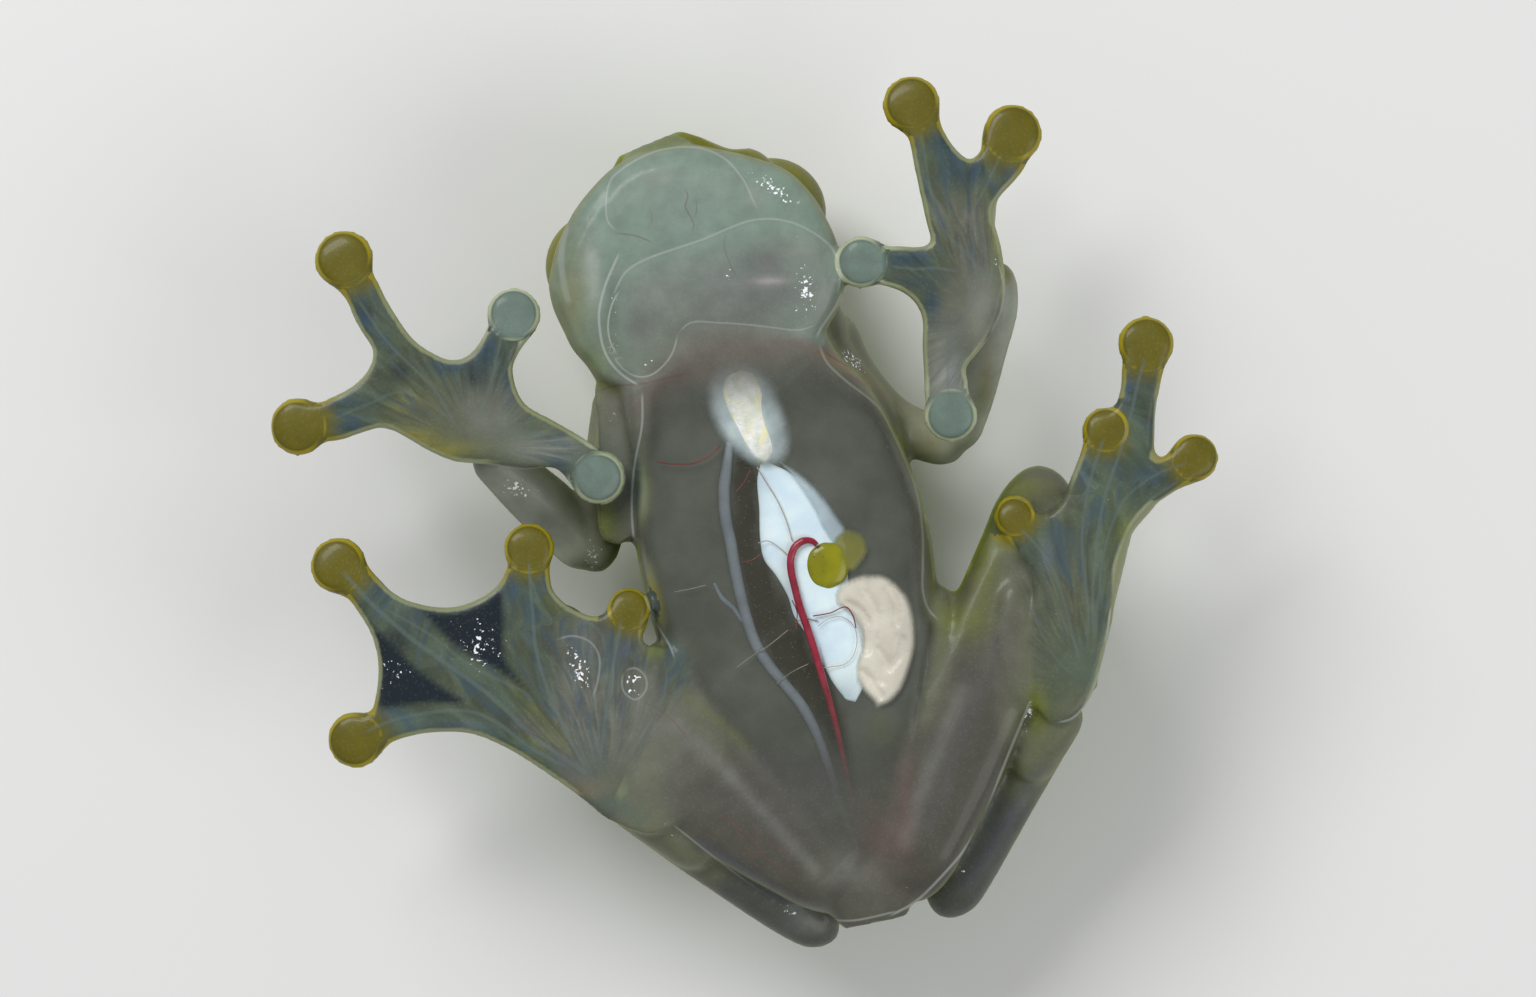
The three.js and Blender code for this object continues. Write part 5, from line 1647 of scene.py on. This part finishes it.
# A round vessel along a line of pixels, whose half width changes along it.
def vessel(pixels, half, depth, sides=14):
    line = smoothLine(pixels, 7 * len(pixels))
    far = np.linspace(0, 1, len(line))
    wide = np.full(len(line), half) if np.isscalar(half) else np.interp(far, *np.array(half).T)
    middle = under(line, depth)
    across, rise = crossFrame(unit(np.gradient(middle, axis=0)))
    angle = np.linspace(0, 2 * np.pi, sides, endpoint=False)
    return tube(middle[:, None] + wide[:, None, None] * (across[:, None] * np.cos(angle)[None, :, None]
                                                        + rise[:, None] * np.sin(angle)[None, :, None]))


# How solid a pad is at each pixel: nothing at its edge, and full `soft` pixels inside it.
def softEdge(p, points):
    outline = np.vstack((smoothLine(p["left"]), smoothLine(p["right"])[::-1]))
    pixels = toPhoto(points)
    away = lineDistance(pixels, np.vstack((outline, outline[:1])), inside["softReach"])
    return ease(np.where(isInside(pixels, outline), away, 0), 0, p["soft"]) * p.get("opacity", 1.0)


def grainOf(tree, mottle, dots, size):
    inputs = {"Mottle": mottle, "Dots": dots, "Dot size": size}
    return addNode(tree, "Group", inputs, node_tree=fleshGrain).outputs


# Mixes a colour over what a material shows, by a share.
def overlay(tree, shader, share, colour):
    seen = shader["Base Color"].links[0].from_socket
    tree.links.new(blend(tree, share, seen, colour), shader["Base Color"])


def softMaterial(name):
    s = {**plainSoft, **softLooks[name]}
    material, tree, shader = newMaterial(name, **{key: s[key] for key in surface})
    grain = grainOf(tree, s["mottle"], s["dots"], s["dotSize"])
    colours = [tuple(tone(*seen)) for seen in s["tones"]]
    tree.links.new(blend(tree, ramp(tree, grain["Mottle"], 0.35, 0.65), *colours), shader["Base Color"])
    if s["dotTone"] is not None:
        overlay(tree, shader, times(tree, grain["Dots"], s["dotShare"]), tuple(tone(*s["dotTone"])))
    linkBump(tree, shader, grain["Height"], 0.00006, s["bumpy"])
    return material, tree, shader


def addOrgan(name, form, material):
    piece = makeObject(name, *form)
    if "soft" in organs.get(name, {}):
        storeColour(piece.data, "solid", softEdge(organs[name], form[0]))
        tree = material.node_tree
        tree.links.new(held(tree, "solid")["Fac"], tree.nodes["Principled BSDF"].inputs["Alpha"])
    piece.data.materials.append(material)
    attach(piece, "root")
    return piece


# Dark wet flesh under everything, with a brown speckled strip between the vein and the liver.
def buildInnerFlesh():
    low = inside["flesh"]
    far, depth, *size = low["throat"]
    stations = [station((*alongHead(far), depth), *size), *trunkStations(low["inset"])[:-1]]
    form = flesh(stations, floor=low["floor"], ceiling=pane - low["top"], **low["shape"])
    material, tree, shader = softMaterial("innerFlesh")
    piece = addOrgan("innerFlesh", form, material)
    strip = inside["strip"]
    fromStrip = signedDistance(toPhoto(form[0]), strip["outline"], inside["softReach"])
    storeColour(piece.data, "brown", ease(-fromStrip, *strip["edge"]))
    share = held(tree, "brown")["Fac"]
    dots = times(tree, grainOf(tree, *strip["grain"])["Dots"], strip["dotShare"])
    overlay(tree, shader, share, blend(tree, dots, *[tuple(tone(*seen)) for seen in strip["tones"]]))


# Streaks of gold leaf along the heart.
def addGoldLeaf(tree, shader):
    leaf = inside["goldLeaf"]
    long = addNode(tree, "Mapping", {"Vector": objectPlace(tree), "Rotation": leaf["turn"],
                                     "Scale": leaf["stretch"]}).outputs[0]
    streak = noise(tree, long, leaf["scale"], 5.0, Distortion=0.8)["Fac"]
    overlay(tree, shader, ramp(tree, streak, *leaf["range"]), tuple(tone(*leaf["tone"])))


def buildOrgans():
    buildInnerFlesh()
    made = {name: softMaterial(name) for name in softLooks if name != "innerFlesh"}
    addGoldLeaf(*made["goldenHeart"][1:])
    for name, p in organs.items():
        if "left" in p:
            addOrgan(name, cushion(p), made[p["material"]][0])
        if "line" in p:
            addOrgan(name, vessel(p["line"], p["half"], p["depth"]), made[p["material"]][0])
    for kind, depth in inside["threadDepths"].items():
        lines = [vessel(line, half, depth, 8) for what, half, line in inside["threads"] if what == kind]
        addOrgan(kind + "Threads", gather(lines), made[kind + "Threads"][0])


# A ball with its pole on the gaze. The attribute "look" holds each point's direction as seen along the gaze:
# across the head's level, square to it, and forward.
def buildEye(side, material):
    aim = gaze(side)
    across, over = crossFrame(aim)
    lat = np.linspace(0, np.pi, eye["rows"])[1:-1]
    lon = np.linspace(0, 2 * np.pi, eye["sides"], endpoint=False)
    local = np.stack((np.sin(lat)[:, None] * np.cos(lon), np.sin(lat)[:, None] * np.sin(lon),
                      np.cos(lat)[:, None] * np.ones(len(lon))), axis=2)
    bulge = 1 + eye["bulge"] * ease(local[..., 2:], *eye["bulgeFrom"])
    middle = np.array(place(*eye[side])) + aim * eye["ballOut"]
    turned = local[..., :1] * across + local[..., 1:2] * over + local[..., 2:] * aim
    rings = middle + eye["radius"] * bulge * turned
    points, faces = tube(rings)
    points[-2:] = middle + np.array([[1 + eye["bulge"]], [-1.0]]) * aim * eye["radius"]
    piece = makeObject("eyeBall" + side.capitalize(), points, faces)
    direction = unit(points - middle)
    parts = np.column_stack((direction @ across, direction @ over, direction @ aim))
    storeColour(piece.data, "look", parts * 0.5 + 0.5)
    piece.data.materials.append(material)
    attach(piece, "root")
    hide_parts("eye_" + side)


# The eye's shader, by distance from the gaze's axis, where the ball's radius is 0.5, with linear tones.
eyeLook = {
    "pupilShape": (0.62, 1.25), "pupil": (0.135, 0.15), "pupilTone": (0.004, 0.004, 0.004),
    "ring": (0.15, 0.19), "ringTone": (0.8, 0.62, 0.2), "front": (0.5, 0.6),
    "grain": (2600.0, 7500.0, 0.3), "iris": ((0.3, 0.2, 0.02), (0.6, 0.48, 0.1)),
    "dotShare": 0.6, "dotTone": (0.14, 0.07, 0.01), "rim": (0.05, 0.12), "rimTone": (0.12, 0.11, 0.015),
    "bump": (0.00003, 0.3), "gloss": {"rough": 0.25, "coat": 0.7, "coatRough": 0.03},
}


# The square root of the sum of two squares.
def spanOf(tree, a, b):
    return maths(tree, "POWER", plus(tree, times(tree, a, a), times(tree, b, b)), 0.5)


def makeEyeMaterial():
    e = eyeLook
    material, tree, shader = newMaterial("goldenEye", **e["gloss"])
    seen = split(tree, held(tree, "look")["Color"])
    centred = [maths(tree, "SUBTRACT", value, 0.5) for value in seen[:2]]
    radius = spanOf(tree, *centred)
    pupil = spanOf(tree, *[times(tree, value, share) for value, share in zip(centred, e["pupilShape"])])
    front = ramp(tree, seen[2], *e["front"])
    grain = grainOf(tree, *e["grain"])
    iris = blend(tree, grain["Mottle"], *e["iris"])
    iris = blend(tree, times(tree, grain["Dots"], e["dotShare"]), iris, e["dotTone"])
    iris = blend(tree, fade(tree, maths(tree, "SUBTRACT", 0.5, radius), *e["rim"]), iris, e["rimTone"])
    iris = blend(tree, times(tree, fade(tree, pupil, *e["ring"]), front), iris, e["ringTone"])
    iris = blend(tree, times(tree, fade(tree, pupil, *e["pupil"]), front), iris, e["pupilTone"])
    tree.links.new(iris, shader["Base Color"])
    linkBump(tree, shader, grain["Mottle"], *e["bump"])
    return material


# The floor, the lamps and the world. A lamp is a place in metres, a size and watts.
studio = {
    "floorHalf": 400, "floorTone": (0.75, 0.75, 0.74, 1),
    "lamps": {"key": ((0.12, -0.16, 0.22), 0.14, 0.6), "fill": ((-0.2, 0.1, 0.2), 0.2, 0.34)},
    "sky": (0.97, 0.98, 1, 1), "skyStrength": 0.35,
    "sensor": 36, "clipStart": 0.01,
}


def addObject(name, data):
    made = bpy.data.objects.new(name, data)
    bpy.context.scene.collection.objects.link(made)
    return made


def buildStage():
    far = studio["floorHalf"]
    corners = [(-far, -far, 0), (far, -far, 0), (far, far, 0), (-far, far, 0)]
    floorPiece = makeObject("floor", corners, [[0, 1, 2, 3]])
    floorMaterial, _, shader = newMaterial("paleFloor")
    shader["Base Color"].default_value = studio["floorTone"]
    floorPiece.data.materials.append(floorMaterial)
    for name, (spot, size, watts) in studio["lamps"].items():
        data = bpy.data.lights.new(name, "AREA")
        data.size = size
        data.energy = watts
        lamp = addObject(name, data)
        lamp.location = spot
        lamp.rotation_euler = (-Vector(spot)).to_track_quat("-Z", "Y").to_euler()
    world = bpy.data.worlds.new("studio")
    world.use_nodes = True
    background = world.node_tree.nodes["Background"].inputs
    background["Color"].default_value = studio["sky"]
    background["Strength"].default_value = studio["skyStrength"]
    bpy.context.scene.world = world


def buildCamera():
    data = bpy.data.cameras.new("camera")
    data.sensor_width = studio["sensor"]
    data.lens = studio["sensor"] * view["rise"] / (view["wide"] * view["pixel"])
    data.clip_start = studio["clipStart"]
    camera = addObject("camera", data)
    camera.location = (-view["origin"][0] / 1000, -view["origin"][1] / 1000, (pane + view["rise"]) / 1000)
    camera.rotation_euler = (0, 0, math.pi)
    bpy.context.scene.camera = camera
    bpy.context.scene.view_settings.view_transform = "Standard"


forms = bodyForms()
buildSkin()
buildOrgans()
print("organs: built")
eyeMaterial = makeEyeMaterial()
for side in ("right", "left"):
    buildEye(side, eyeMaterial)
print("eyes: built")
buildStage()
buildCamera()
print("stage: built")
